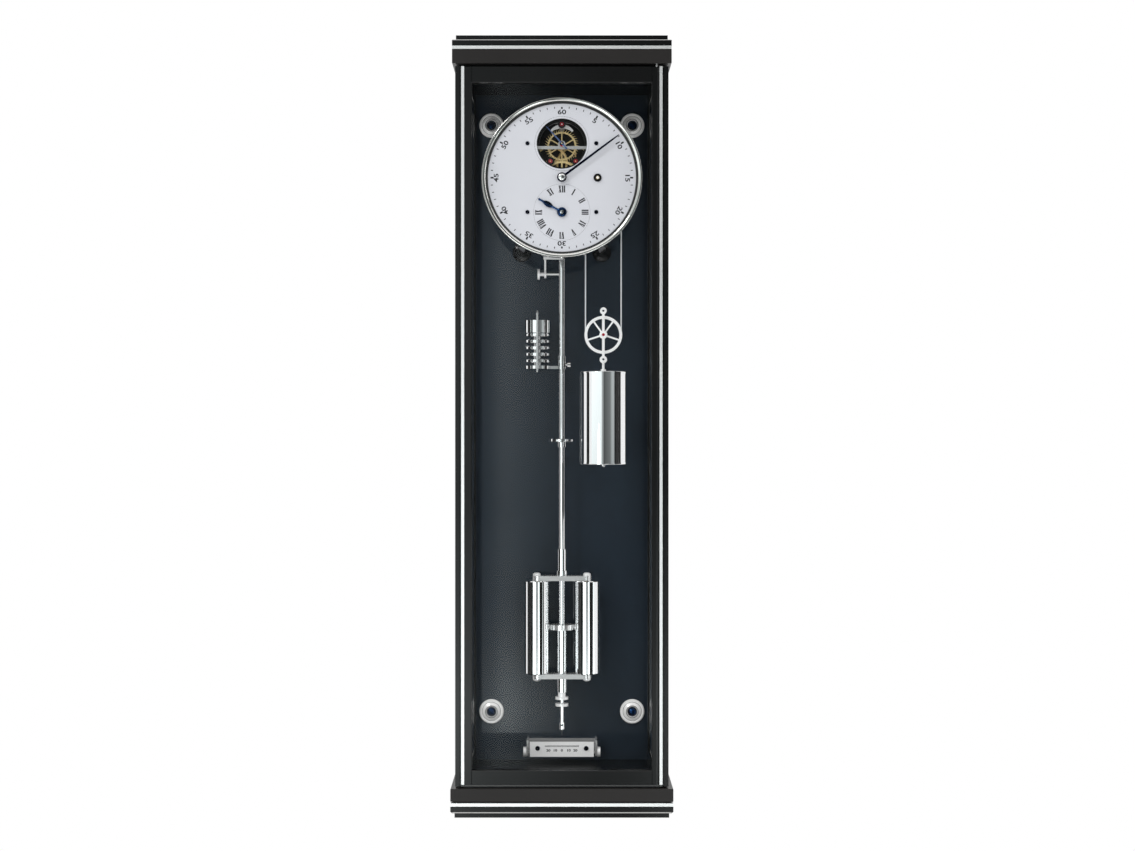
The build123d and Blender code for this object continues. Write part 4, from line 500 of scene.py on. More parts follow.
CREASE = math.radians(34)  # an edge with a larger angle stays sharp
TOUCHING = 1e-7  # in metres: closer points of two rings lie on the axis
MERGED = 1e-6  # in metres: closer points become one
INK_RISE = 0.04 * MM  # how far ink stands out from its face, and reaches into it
BLOCK_DEPTH = 2 * INK_RISE
FACING = Matrix.Rotation(math.radians(90), 4, "X")  # turns Z towards the viewer
SIDEWAYS = Matrix.Rotation(math.radians(90), 4, "Y")  # turns Z to X


def linked(name: str, data: bpy.types.ID) -> bpy.types.Object:
    """Put data in the scene.

    Args:
        name: The new object's name.
        data: A mesh, curve, light or camera.

    Returns:
        The new object.
    """
    thing = bpy.data.objects.new(name, data)
    bpy.context.scene.collection.objects.link(thing)
    return thing


def new_object(name: str, mesh: Mesh, finish: Finish, body: str | None) -> bpy.types.Object:
    """Put a mesh in the scene as a piece that rides on a body.

    Args:
        name: The piece's name.
        mesh: Its mesh, already in place.
        finish: Its finish.
        body: The body it rides on, or None for a piece that rides on no body.

    Returns:
        The new object.
    """
    mesh.name = name
    mesh.materials.clear()
    mesh.materials.append(material_of(finish))
    piece = linked(name, mesh)
    if body is not None:
        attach(piece, body)
    LOG.info("built %s with %d faces", name, len(mesh.polygons))
    return piece


def flat_mesh(points: Sequence[Point3], faces: Sequence[tuple[int, ...]]) -> Mesh:
    """Make a mesh for the studio.

    Args:
        points: Its points.
        faces: Each face's points, by number.

    Returns:
        The mesh.
    """
    mesh = bpy.data.meshes.new("flat")
    mesh.from_pydata(points, [], faces)
    return mesh


def mesh_of(sheet: bmesh.types.BMesh) -> Mesh:
    """Make a mesh of a sheet, and free the sheet.

    Args:
        sheet: The sheet.

    Returns:
        The mesh.
    """
    mesh = bpy.data.meshes.new("piece")
    sheet.to_mesh(mesh)
    sheet.free()
    return mesh


def join_meshes(meshes: Iterable[Mesh]) -> Mesh:
    """Put several meshes into one.

    Args:
        meshes: What goes into it.

    Returns:
        The joined mesh.
    """
    sheet = bmesh.new()
    for mesh in meshes:
        sheet.from_mesh(mesh)
    return mesh_of(sheet)


def lathe(middle: Point2, profile: Sequence[Point2], steps: int = 192) -> Mesh:
    """Turn a closed profile round an axis that faces the viewer.

    Args:
        middle: Where the axis stands, x and z.
        profile: Radius and y of the closed outline, in order.
        steps: How many segments go round.

    Returns:
        A closed mesh with smooth faces and sharp creases.
    """
    sheet = bmesh.new()
    rings = []
    for index in range(steps):
        angle = 2 * math.pi * index / steps
        sine, cosine = math.sin(angle), math.cos(angle)
        rings.append([
            sheet.verts.new((middle[0] + radius * sine, y, middle[1] + radius * cosine))
            for radius, y in profile
        ])
    for index, ring in enumerate(rings):
        after = rings[(index + 1) % steps]
        for low in range(len(profile)):
            high = (low + 1) % len(profile)
            corners = [ring[low], ring[high], after[high], after[low]]
            if (ring[low].co - after[low].co).length < TOUCHING:
                corners = corners[:3]
            elif (ring[high].co - after[high].co).length < TOUCHING:
                corners = [corners[0], corners[1], corners[3]]
            if len({tuple(vert.co) for vert in corners}) == len(corners):
                sheet.faces.new(corners)
    bmesh.ops.remove_doubles(sheet, verts=sheet.verts, dist=MERGED)
    bmesh.ops.recalc_face_normals(sheet, faces=sheet.faces)
    for face in sheet.faces:
        face.smooth = True
    for edge in sheet.edges:
        if len(edge.link_faces) == 2 and edge.calc_face_angle() > CREASE:
            edge.smooth = False
    return mesh_of(sheet)


def turned(name: str, middle: Point2, front: float, profile: Sequence[Point2], finish: Finish,
           body: str, steps: int = 64) -> None:
    """Set a small turned piece on a face."""
    outline = [(radius * MM, front + behind * MM) for radius, behind in profile]
    new_object(name, lathe(middle, outline, steps), finish, body)


def loft(rows: Sequence[Sequence[Point3]], smooth: bool = False) -> Mesh:
    """Join rings of points, each to the next, and close both ends.

    Args:
        rows: Rings with the same number of points.
        smooth: Whether the walls shade smoothly.

    Returns:
        A closed mesh with its faces outward.
    """
    sheet = bmesh.new()
    rings = [[sheet.verts.new(point) for point in row] for row in rows]
    for low, high in zip(rings, rings[1:]):
        for index in range(len(low)):
            after = (index + 1) % len(low)
            wall = sheet.faces.new((low[index], low[after], high[after], high[index]))
            wall.smooth = smooth
    for end in (rings[0], rings[-1]):
        sheet.faces.new(end)
    bmesh.ops.recalc_face_normals(sheet, faces=sheet.faces)
    return mesh_of(sheet)


def box_centre(name: str) -> Vector:
    """Middle of a CAD node's box."""
    low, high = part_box(name)
    return (Vector(low) + Vector(high)) / 2


def axis_of(name: str) -> Point2:
    """Middle of a CAD node's box as the viewer sees it, x and z."""
    middle = box_centre(name)
    return (middle.x, middle.z)


@dataclass
class Print:
    """Thin flat marks on a face that looks at the viewer."""

    front: float  # y of the face that carries the marks
    flatness: float = 0.9
    figure_share: float = 0.73  # height of a figure in a size of 1
    sheet: bmesh.types.BMesh = field(default_factory=bmesh.new)

    def polygon(self, points: Sequence[Point2]) -> None:
        """Add one flat mark with its edge walls.

        Args:
            points: Its corners, x and z, either way round.
        """
        area = sum(a[0] * b[1] - b[0] * a[1] for a, b in zip(points, [*points[1:], points[0]]))
        ordered = list(points) if area > 0 else list(reversed(points))
        top, low = ([self.sheet.verts.new((x, self.front + side * INK_RISE, z))
                     for x, z in ordered] for side in (-1, 1))
        self.sheet.faces.new(top)
        for index in range(len(top)):
            after = (index + 1) % len(top)
            self.sheet.faces.new((top[index], low[index], low[after], top[after]))

    def ring(self, centre: Point2, radius: float, width: float, steps: int = 180) -> None:
        """Add a thin circle.

        Args:
            centre: Its middle, x and z.
            radius: Its mean radius.
            width: Its line width.
            steps: How many segments it has.
        """
        inner, outer = radius - width / 2, radius + width / 2
        for index in range(steps):
            start, end = (2 * math.pi * (index + part) / steps for part in (0, 1))
            self.polygon([
                (centre[0] + r * math.sin(a), centre[1] + r * math.cos(a))
                for r, a in ((inner, start), (outer, start), (outer, end), (inner, end))
            ])

    def words(self, text: str, place: Callable[[float, float], Point2], height: float,
              bold: float, stretch: float) -> None:
        """Add figures, laid out by a function.

        Args:
            text: The figures.
            place: Turns a point of the centred text into x and z.
            height: Height of a figure.
            bold: How far its strokes grow on each side.
            stretch: How much wider than the plain face it is.
        """
        curve = bpy.data.curves.new("figures", "FONT")
        curve.body = text
        curve.align_x, curve.align_y = "CENTER", "CENTER"
        curve.size = height / self.figure_share
        curve.offset = bold
        curve.resolution_u = 3
        holder = linked("figures", curve)
        graph = bpy.context.evaluated_depsgraph_get()
        mesh = bpy.data.meshes.new_from_object(holder.evaluated_get(graph))
        for face in mesh.polygons:
            points = [mesh.vertices[index].co for index in face.vertices]
            self.polygon([place(point.x * stretch, point.y) for point in points])
        bpy.data.objects.remove(holder)
        bpy.data.curves.remove(curve)
        bpy.data.meshes.remove(mesh)

    def lay(self, name: str, finish: Finish, body: str) -> None:
        """Close the sheet and put it in the scene.

        Args:
            name: The piece's name.
            finish: Its ink.
            body: The body it rides on.
        """
        bmesh.ops.recalc_face_normals(self.sheet, faces=self.sheet.faces)
        for face in self.sheet.faces:
            if face.normal.y > self.flatness:
                face.normal_flip()
        new_object(name, mesh_of(self.sheet), finish, body)


def radial(centre: Point2, radius: float, bearing: float) -> Callable[[float, float], Point2]:
    """Placement of upright marks on a circle, their tops outward.

    Args:
        centre: Middle of the circle, x and z.
        radius: Radius on which the marks are centred.
        bearing: Degrees clockwise from the top.

    Returns:
        A function from a point of the mark to x and z.
    """
    turn = math.radians(bearing)
    sine, cosine = math.sin(turn), math.cos(turn)

    def place(x: float, y: float) -> Point2:
        """Turn and move one point."""
        reach = radius + y
        return (centre[0] + reach * sine + x * cosine, centre[1] + reach * cosine - x * sine)

    return place


def roman(text: str, height: float) -> list[list[Point2]]:
    """Strokes of a Roman numeral, centred on its middle.

    Args:
        text: Letters I, V and X.
        height: Height of the letters.

    Returns:
        One polygon for each stroke.
    """
    widths = {"I": 0.27 * height, "V": 0.5 * height, "X": 0.5 * height}
    thick, fine, gap = 0.185 * height, 0.075 * height, 0.05 * height
    cursor, half = -sum(widths[letter] for letter in text) / 2, height / 2
    strokes = []
    for letter in text:
        left, right = cursor + gap, cursor + widths[letter] - gap
        middle = (left + right) / 2
        # each stroke from left to right at its top, then from right to left at its foot
        strokes += [[(a, half), (b, half), (c, -half), (d, -half)] for a, b, c, d in {
            "I": ((middle - thick / 2, middle + thick / 2, middle + thick / 2,
                   middle - thick / 2),),
            "V": ((left, left + thick, middle + fine, middle - fine),
                  (right - fine, right, middle + fine, middle)),
            "X": ((left, left + thick, right, right - thick),
                  (right - fine, right, left + fine, left)),
        }[letter]]
        for end in (half,) if letter == "V" else (half, -half):
            inner = end - math.copysign(fine, end)
            strokes.append([(left, end), (right, end), (right, inner), (left, inner)])
        cursor += widths[letter]
    return strokes


# ------------------------------------------------------------ geometry trees


class TreeMaker:
    """Writes the geometry trees and turns what they make into plain meshes."""

    @cached_property
    def ring_of_blocks(self) -> Tree:
        """Small blocks set round an axis, with every so many left out if wished."""
        sheet, given = open_group("GeometryNodeTree", "ring_of_blocks", {
            "Count": "Int", "Radius": "Float", "Block": "Vector", "Skip": "Int",
            "Turn": "Float", "Material": "Material",
        }, {"Geometry": "Geometry"})
        circle = sheet.add("GeometryNodeMeshCircle",
                           {"Vertices": given["Count"], "Radius": given["Radius"]})
        index = sheet.add("GeometryNodeInputIndex").outputs["Index"]
        left_over = sheet.math("MODULO", index, given["Skip"])
        never = sheet.math("GREATER_THAN", given["Skip"], given["Count"])
        kept = sheet.math("MAXIMUM", sheet.math("GREATER_THAN", left_over, 0.5), never)
        step = sheet.math("DIVIDE", 2 * math.pi, given["Count"])
        spin = sheet.add("ShaderNodeCombineXYZ", {"Z": sheet.math("MULTIPLY", index, step)})
        spread = self._spread(sheet, circle, given, {
            "Selection": kept, "Rotation": spin.outputs["Vector"],
        })
        lay = sheet.add("ShaderNodeCombineXYZ", {"Z": given["Turn"]})
        turn = sheet.add("GeometryNodeTransform",
                         {"Geometry": spread, "Rotation": lay.outputs["Vector"]})
        return self._finish(sheet, turn.outputs["Geometry"], given)

    @cached_property
    def row_of_blocks(self) -> Tree:
        """Small blocks in a straight row along X, centred."""
        sheet, given = open_group("GeometryNodeTree", "row_of_blocks", {
            "Count": "Int", "Length": "Float", "Block": "Vector", "Material": "Material",
        }, {"Geometry": "Geometry"})
        low, high = (
            sheet.add("ShaderNodeCombineXYZ",
                      {"X": sheet.math("MULTIPLY", given["Length"], share)}).outputs["Vector"]
            for share in (-0.5, 0.5)
        )
        line = sheet.add("GeometryNodeMeshLine", mode="END_POINTS", count_mode="TOTAL")
        sheet.feed(line, {"Count": given["Count"], "Start Location": low, "Offset": high})
        return self._finish(sheet, self._spread(sheet, line, given, {}), given)

    def _spread(self, sheet: NodeSheet, points: Node, given: dict[str, Socket],
                feeds: Feeds) -> Socket:
        """Set a block on each point.

        Args:
            sheet: The tree's sheet.
            points: The node that makes the points.
            given: The tree's inputs, by name.
            feeds: What else the blocks are set with.

        Returns:
            The blocks, as instances.
        """
        block = sheet.add("GeometryNodeMeshCube", {"Size": given["Block"]})
        return sheet.add("GeometryNodeInstanceOnPoints", {
            "Points": points.outputs["Mesh"], "Instance": block.outputs["Mesh"], **feeds,
        }).outputs["Instances"]

    def _finish(self, sheet: NodeSheet, geometry: Socket, given: dict[str, Socket]) -> Tree:
        """Realise the instances and set the material at the tree's end.

        Args:
            sheet: The tree's sheet.
            geometry: The instances.
            given: The tree's inputs, by name.

        Returns:
            The finished tree.
        """
        real = sheet.add("GeometryNodeRealizeInstances", {"Geometry": geometry})
        paint = sheet.add("GeometryNodeSetMaterial", {
            "Geometry": real.outputs["Geometry"], "Material": given["Material"],
        })
        return sheet.close({"Geometry": paint.outputs["Geometry"]})

    def run(self, tree: Tree, values: dict[str, object], place: Matrix, finish: Finish) -> Mesh:
        """Run a tree with its inputs and put the result in place.

        Args:
            tree: The geometry tree.
            values: Its inputs, by name.
            place: Where the result goes.
            finish: The finish that the tree sets.

        Returns:
            A plain mesh.
        """
        holder = linked("holder", bpy.data.meshes.new("holder"))
        modifier = holder.modifiers.new("tree", "NODES")
        modifier.node_group = tree
        given = {**values, "Material": material_of(finish)}
        for item in tree.interface.items_tree:
            if item.in_out == "INPUT":
                modifier[item.identifier] = given[item.name]
        graph = bpy.context.evaluated_depsgraph_get()
        mesh = bpy.data.meshes.new_from_object(holder.evaluated_get(graph))
        bpy.data.objects.remove(holder)
        mesh.transform(place)
        return mesh


TREES = TreeMaker()


# ---------------------------------------------------------------- assemblies


@dataclass
class Assembly:
    """A group of the clock's parts that is dressed together."""

    nodes: dict[str, bpy.types.Object]  # the frame's nodes, by name

    def dress(self, finish: Finish, *names: str) -> None:
        """Give CAD nodes a finish.

        Args:
            finish: The finish to give.
            names: The nodes to dress.
        """
        material = material_of(finish)
        for name in names:
            node = self.nodes[name]
            if not node.material_slots:
                node.data.materials.append(material)
            for slot in node.material_slots:
                slot.material = material
            LOG.info("dressed %s in %s", name, finish.name)


@dataclass
class Case(Assembly):
    """The lacquered case, its glasses, its steel bands and its wall fixings."""

    nut_radius: float = 5.2 * MM
    # black rings of painted shade: node and side of its box, then inner radius, outer radius, rear
    # and front in millimetres
    painted_shade_table: tuple[tuple[str, int, float, float, float, float], ...] = (
        ("wall_nuts", 1, 4.9, 6.4, -0.02, -0.32),
        ("wall_rosettes", 1, 11.9, 12.8, -1.2, -2.1),
        ("wall_rosettes", 0, 7.6, 8.3, 0.1, -0.05),
    )
    cap_height: float = 6.0 * MM  # the crown's cap, above its board
    foot_height: float = 6.0 * MM  # below the base board
    crown_chamfer: float = 1.2 * MM
    base_chamfer: float = 2.4 * MM
    highlight_rise: float = 0.04 * MM  # how far a painted highlight line stands out

    def build(self) -> None:
        """Dress the case and the door."""
        self.dress(LACQUER, "side_frame_left", "side_frame_right", "floor_and_ceiling",
                   "crown_boards", "base_boards", "door_frame", "back_board")
        self.dress(BRUSHED_LACQUER, "crown_frieze", "base_plinth")
        self.dress(PANEL, "back_panel")
        self.dress(DOOR_GLASS, "side_glasses", "door_glass")
        self.dress(BEAD, "door_beads")
        self.dress(BAND, "steel_inlays")
        self.dress(TURNED, "wall_rosettes")
        self.dress(BLUED, "wall_nuts")
        self.dress(STEEL, "hinge_pins")
        self.paint_rosette_shade()
        self.paint_highlight_lines()

    def paint_highlight_lines(self) -> None:
        """Paint a highlight on the chamfers of the crown board and base board as a light line."""
        # across the chamfer and down it, as shares of its width, and whether it stands proud
        corners = ((0.25, 0.75, 1), (0.85, 0.15, 1), (0.85, 0.35, 0), (0.45, 0.75, 0))
        for name, node, side, step, chamfer in (
            ("crown_highlight_line", "crown_boards", 1, self.cap_height, self.crown_chamfer),
            ("base_highlight_line", "base_boards", 0, self.foot_height, self.base_chamfer),
        ):
            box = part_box(node)
            away = 1 if side else -1
            front, edge = box[0][1], box[side][2] - away * step
            half = box[1][0] - chamfer
            rows = [[(x, front + back * chamfer - proud * self.highlight_rise,
                      edge - away * (fall * chamfer - proud * self.highlight_rise))
                     for back, fall, proud in corners] for x in (-half, half)]
            new_object(name, loft(rows), PAINTED_HIGHLIGHT, "case")

    def paint_rosette_shade(self) -> None:
        """Lay a black ring of painted shade round each wall nut, and at a rosette's rim and top."""
        low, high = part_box("wall_nuts")
        reach = high[0] - self.nut_radius
        shade_rings = []
        for x in (-reach, reach):
            for z in (low[2] + self.nut_radius, high[2] - self.nut_radius):
                for node, side, inner, outer, rear, face in self.painted_shade_table:
                    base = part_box(node)[side][1]
                    corners = ((inner, rear), (outer, rear), (outer, face), (inner, face))
                    profile = [(radius * MM, base + depth * MM) for radius, depth in corners]
                    shade_rings.append(lathe((x, z), profile, steps=96))
        # the rings are painted shade, set at the nut's seat and in the rosette's steps
        new_object("rosette_painted_shade", join_meshes(shade_rings), CASTING, "case")


@dataclass
class Dial(Assembly):
    """The silvered dial with its printing, screws and bezel."""

    tick_radius: float = 89.6 * MM
    tick_size: Point2 = (2.6 * MM, 1.0 * MM)  # length and width
    bar_radius: float = 88.9 * MM
    bar_size: Point2 = (2.1 * MM, 4.0 * MM)  # width and length
    short_share: float = 0.65  # length of the bars at 30 and 60
    figure_radius: float = 83.4 * MM
    figure_height: float = 6.0 * MM
    figure_boldness: float = 0.19 * MM  # how far strokes grow on each side
    figure_stretch: float = 1.36
    hour_circle: float = 36.0 * MM
    hour_radius: float = 29.6 * MM
    hour_height: float = 8.8 * MM
    seconds_circle: float = 34.6 * MM
    seconds_tick: Point2 = (1.2 * MM, 0.2 * MM)  # length and width
    line_width: float = 0.22 * MM
    dial_edge: float = 94.4 * MM  # where the dial meets the bezel's recess
    lip_rise: float = 1.1 * MM  # how far the recess stands before the dial
    lip_step: float = 0.2 * MM  # how much deeper the bezel starts to widen
    lip_flare: float = 0.8 * MM  # how much it widens to the back
    bezel_round: Point2 = (1.2 * MM, 1.4 * MM)  # how far in, and how far back
    round_steps: int = 5
    # distance in from the outer edge, and fall, in millimetres
    bezel_slope: Outline = (
        (2.0, 0.06), (2.8, 0.22), (3.6, 0.50), (4.3, 0.90), (4.8, 1.5),
    )
    seat: float = 0.02 * MM  # how far the recess reaches into what it joins

    @cached_property
    def front(self) -> float:
        """The y of the dial's face."""
        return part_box("dial")[0][1]

    def build(self) -> None:
        """Dress the dial and print it."""
        self.dress(SILVERED, "dial")
        self.dress(BLUE_BLACK, "dial_screws")
        self.bezel()
        self.minutes()
        self.hour_dial()
        self.seconds_dial()

    def bezel(self) -> None:
        """Turn the polished bezel, and a black ring of painted shade in the recess inside it."""
        (left, front, _), (right, back, _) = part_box("bezel")
        outer, lip = (right - left) / 2, self.front - self.lip_rise
        inward, deep = self.bezel_round
        outline = [(outer, back)]
        for step in range(self.round_steps + 1):
            turn = math.pi / 2 * step / self.round_steps
            outline.append((outer - inward * (1 - math.cos(turn)),
                            front + deep * (1 - math.sin(turn))))
        outline += [(outer - reach * MM, front + fall * MM) for reach, fall in self.bezel_slope]
        recess = outline[-1][0]
        outline += [(recess, lip + self.lip_step), (recess + self.lip_flare, back)]
        ring = new_object("bezel_ring", lathe(axis_of("dial"), outline), NICKEL, "case")
        outer, rear = recess - self.seat, self.front - self.seat
        # a black ring fills the gap between the bezel and the dial as painted shade
        shade_filler = [(outer, lip), (self.dial_edge, lip), (self.dial_edge, rear), (outer, rear)]
        new_object("bezel_shade_ring", lathe(axis_of("dial"), shade_filler), SHADOW_BLACK, "case")
        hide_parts("bezel")

    def track(self, name: str, centre: Point2, radius: float, skip: int, size: Point2,
              finish: Finish) -> None:
        """Print a ring of sixty ticks with the geometry tree.

        Args:
            name: The piece's name.
            centre: Its middle, x and z.
            radius: Where the ticks are centred.
            skip: Every so many ticks, one is left out; none above 60.
            size: Length and width of a tick.
            finish: The ink.
        """
        place = Matrix.Translation((centre[0], self.front, centre[1])) @ FACING
        mesh = TREES.run(TREES.ring_of_blocks, {
            "Count": 60, "Radius": radius, "Block": (*size, BLOCK_DEPTH), "Skip": skip,
            "Turn": math.pi / 2,
        }, place, finish)
        new_object(name, mesh, finish, "case")

    def minutes(self) -> None:
        """Print the minute track, its bars and its figures."""
        middle = axis_of("dial")
        self.track("minute_ticks", middle, self.tick_radius, 5, self.tick_size, INK)
        bars, figures = Print(self.front), Print(self.front)
        for number in range(12):
            place = radial(middle, self.bar_radius, 30.0 * number)
            share = self.short_share if number % 6 == 0 else 1.0
            wide, tall = self.bar_size[0] / 2, self.bar_size[1] / 2 * share
            bars.polygon([place(x, y) for x, y in
                          ((-wide, -tall), (wide, -tall), (wide, tall), (-wide, tall))])
        bars.lay("five_minute_bars", INK, "case")
        for number in range(1, 13):
            place = radial(middle, self.figure_radius, 30.0 * number)
            figures.words(str(5 * number), place, self.figure_height, self.figure_boldness,
                          self.figure_stretch)
        figures.lay("minute_figures", INK, "case")

    def hour_dial(self) -> None:
        """Print the hour figures and their circle."""
        middle = axis_of("hour_wheel")
        figures, circle = Print(self.front), Print(self.front)
        names = "I II III IV V VI VII VIII IX X XI XII".split()
        for number, text in enumerate(names, start=1):
            place = radial(middle, self.hour_radius, 30.0 * number)
            for stroke in roman(text, self.hour_height):
                figures.polygon([place(x, y) for x, y in stroke])
        figures.lay("hour_figures", INK, "case")
        circle.ring(middle, self.hour_circle, self.line_width)
        circle.lay("hour_circle", INK_PALE, "case")

    def seconds_dial(self) -> None:
        """Print the seconds track round the opening."""
        middle = axis_of("escape_wheel")
        circle = Print(self.front)
        circle.ring(middle, self.seconds_circle, self.line_width)
        circle.lay("seconds_circle", INK_PALE, "case")
        self.track("seconds_ticks", middle, self.seconds_circle, 61, self.seconds_tick, INK_PALE)


@dataclass
class Movement(Assembly):
    """Plates, wheels, lines, weight and hands. Profiles and blades are in millimetres."""

    # radius, and depth behind the face, of each turned piece
    arbor_end: Outline = ((0.0, 1.5), (2.3, 1.5), (2.3, 0.2), (1.9, -0.1), (0.0, -0.1))
    # a black ring of painted shade in the winding hole, round the arbor's end
    socket: Outline = ((2.1, 0.6), (4.9, 0.6), (4.9, -0.05), (2.1, -0.05))
    hub_ring: Outline = ((2.1, 0.4), (4.9, 0.4), (4.9, -0.1), (4.4, -0.35), (2.5, -0.35),
                         (2.1, -0.1))
    hub_ruby: Outline = ((0.0, 0.3), (2.0, 0.3), (1.9, -0.1), (0.0, -0.25))
    minute_boss: Point2 = (4.9, 1.9)  # radius and height
    hour_boss: Point2 = (3.2, 0.9)
    boss_seat: float = 0.12  # how far a boss stands before its hand
    boss_steps: int = 10
    # distance from the axis, and width, along each hand
    minute_blade: Outline = ((5.4, 2.9), (30.0, 2.9), (60.0, 2.6), (80.0, 2.1), (90.0, 1.1))
    hour_blade: Outline = ((5.4, 2.4), (10.0, 2.2), (14.0, 2.6), (17.5, 6.0), (20.5, 7.0),
                           (23.5, 6.0), (27.0, 3.0), (31.0, 2.0), (34.8, 0.8))
    seconds_blade: Outline = ((-9.6, 2.2), (0.0, 2.0), (18.0, 1.5), (29.0, 0.8))
    blade_edge: float = 0.95  # thickness at the edges
    blade_ridge: float = 1.25  # thickness along the middle
    blade_seat: float = 0.05  # how far a blade stands before its hand's back
    line_sides: int = 16
    line_rings: int = 48  # lengths that a run is cut into

    def build(self) -> None:
        """Dress the movement."""
        self.dress(CASTING, "movement_bracket")
        self.dress(DARK_NICKEL, "rear_plate", "front_plate")
        self.dress(POLISHED, "steel_screws")
        self.dress(SATIN, "anchor", "bail", "pulley", "crutch", "beat_screw")
        self.dress(STEEL, "cocks", "pillars", "suspension_spring")
        self.dress(RUBY, "jewels")
        self.dress(GILT, "great_wheel", "drum", "intermediate_wheel", "centre_wheel",
                   "third_wheel", "escape_wheel", "motion_wheel", "hour_wheel")
        self.dress(WIRE, "drum_line", "line_loop")
        self.dress(CHROME, "weight")
        self.dress(BLUE_BLACK, "minute_hand", "seconds_hand")
        self.dress(BLUED, "hour_hand")
        self.bosses()
        self.blades()
        self.winding_end()
        self.line_runs()
        self.pulley_hub()

    def bosses(self) -> None:
        """Cap the hands' bosses with polished domes."""
        turns = [math.pi / 2 * step / self.boss_steps for step in range(self.boss_steps)]
        for hand, wheel, body, (radius, rise) in (
            ("minute_hand", "centre_wheel", "centre", self.minute_boss),
            ("hour_hand", "hour_wheel", "hour", self.hour_boss),
        ):
            rim = [(radius * math.cos(turn), rise * (1 - math.sin(turn)) - self.boss_seat)
                   for turn in turns]
            turned(f"{hand}_boss", axis_of(wheel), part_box(hand)[0][1],
                   [(0.0, rim[0][1]), *rim, (0.0, rim[-1][1])], POLISHED, body)

    def winding_end(self) -> None:
        """Put a bright squared end on the winding arbor, and a black ring round it that paints the
        shade in the winding hole.
        """
        middle, front = axis_of("drum"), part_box("drum")[0][1]
        turned("winding_arbor_end", middle, front, self.arbor_end, SATIN, "winding_drum",
               steps=4)
        # painted shade in the winding hole
        turned("winding_hole_shade", middle, front, self.socket, CASTING, "winding_drum")

    def pulley_hub(self) -> None:
        """Set a ring and a ruby in the pulley's hub."""
        middle, front = axis_of("pulley"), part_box("bail")[0][1]
        turned("pulley_hub_ring", middle, front, self.hub_ring, SATIN, "weight")
        turned("pulley_ruby", middle, front, self.hub_ruby, RUBY, "weight", steps=48)

    def blades(self) -> None:
        """Lay a ridged blade on each of the three dial hands."""
        for hand, wheel, body, stations, finish in (
            ("minute_hand", "centre_wheel", "centre", self.minute_blade, BLUE_BLACK),
            ("hour_hand", "hour_wheel", "hour", self.hour_blade, BLUED),
            ("seconds_hand", "escape_wheel", "escape", self.seconds_blade, BLUE_GREY),
        ):
            low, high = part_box(hand)
            x, z = axis_of(wheel)
            sideways = high[0] - x if high[0] - x > x - low[0] else low[0] - x
            bearing = math.atan2(sideways, high[2] - z)
            middle = Vector((x, high[1] - self.blade_seat * MM, z))
            new_object(f"{hand}_blade", self.blade(middle, bearing, stations), finish, body)

    def blade(self, middle: Vector, bearing: float, stations: Sequence[Point2]) -> Mesh:
        """Make a blade with a ridge along it.

        Args:
            middle: Where the hand's axis meets the blade's back.
            bearing: Its angle clockwise from the top.
            stations: Distance from the axis and width, in millimetres.

        Returns:
            The blade's mesh.
        """
        along = Vector((math.sin(bearing), 0, math.cos(bearing)))
        across = Vector((math.cos(bearing), 0, -math.sin(bearing)))
        edge, ridge = (Vector((0, -thick * MM, 0)) for thick in (self.blade_edge, self.blade_ridge))
        rows = []
        for reach, width in stations:
            centre, side = middle + along * reach * MM, across * width / 2 * MM
            rows.append((centre - side, centre - side + edge, centre + ridge,
                         centre + side + edge, centre + side))
        return loft(rows)

    def line_runs(self) -> None:
        """Draw the line's two runs as tubes cut into rings, in place of the CAD lines."""
        for node, name in (("falling_line", "falling_run"), ("returning_line", "returning_run")):
            low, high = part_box(node)
            middle = box_centre(node)
            radius, length = (high[0] - low[0]) / 2, high[2] - low[2]
            turns = [math.tau * side / self.line_sides for side in range(self.line_sides)]
            rows = [[(middle.x + radius * math.cos(turn), middle.y + radius * math.sin(turn),
                      low[2] + length * ring / self.line_rings) for turn in turns]
                    for ring in range(self.line_rings + 1)]
            run = new_object(name, loft(rows, smooth=True), WIRE, None)
            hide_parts(node)
            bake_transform(run)


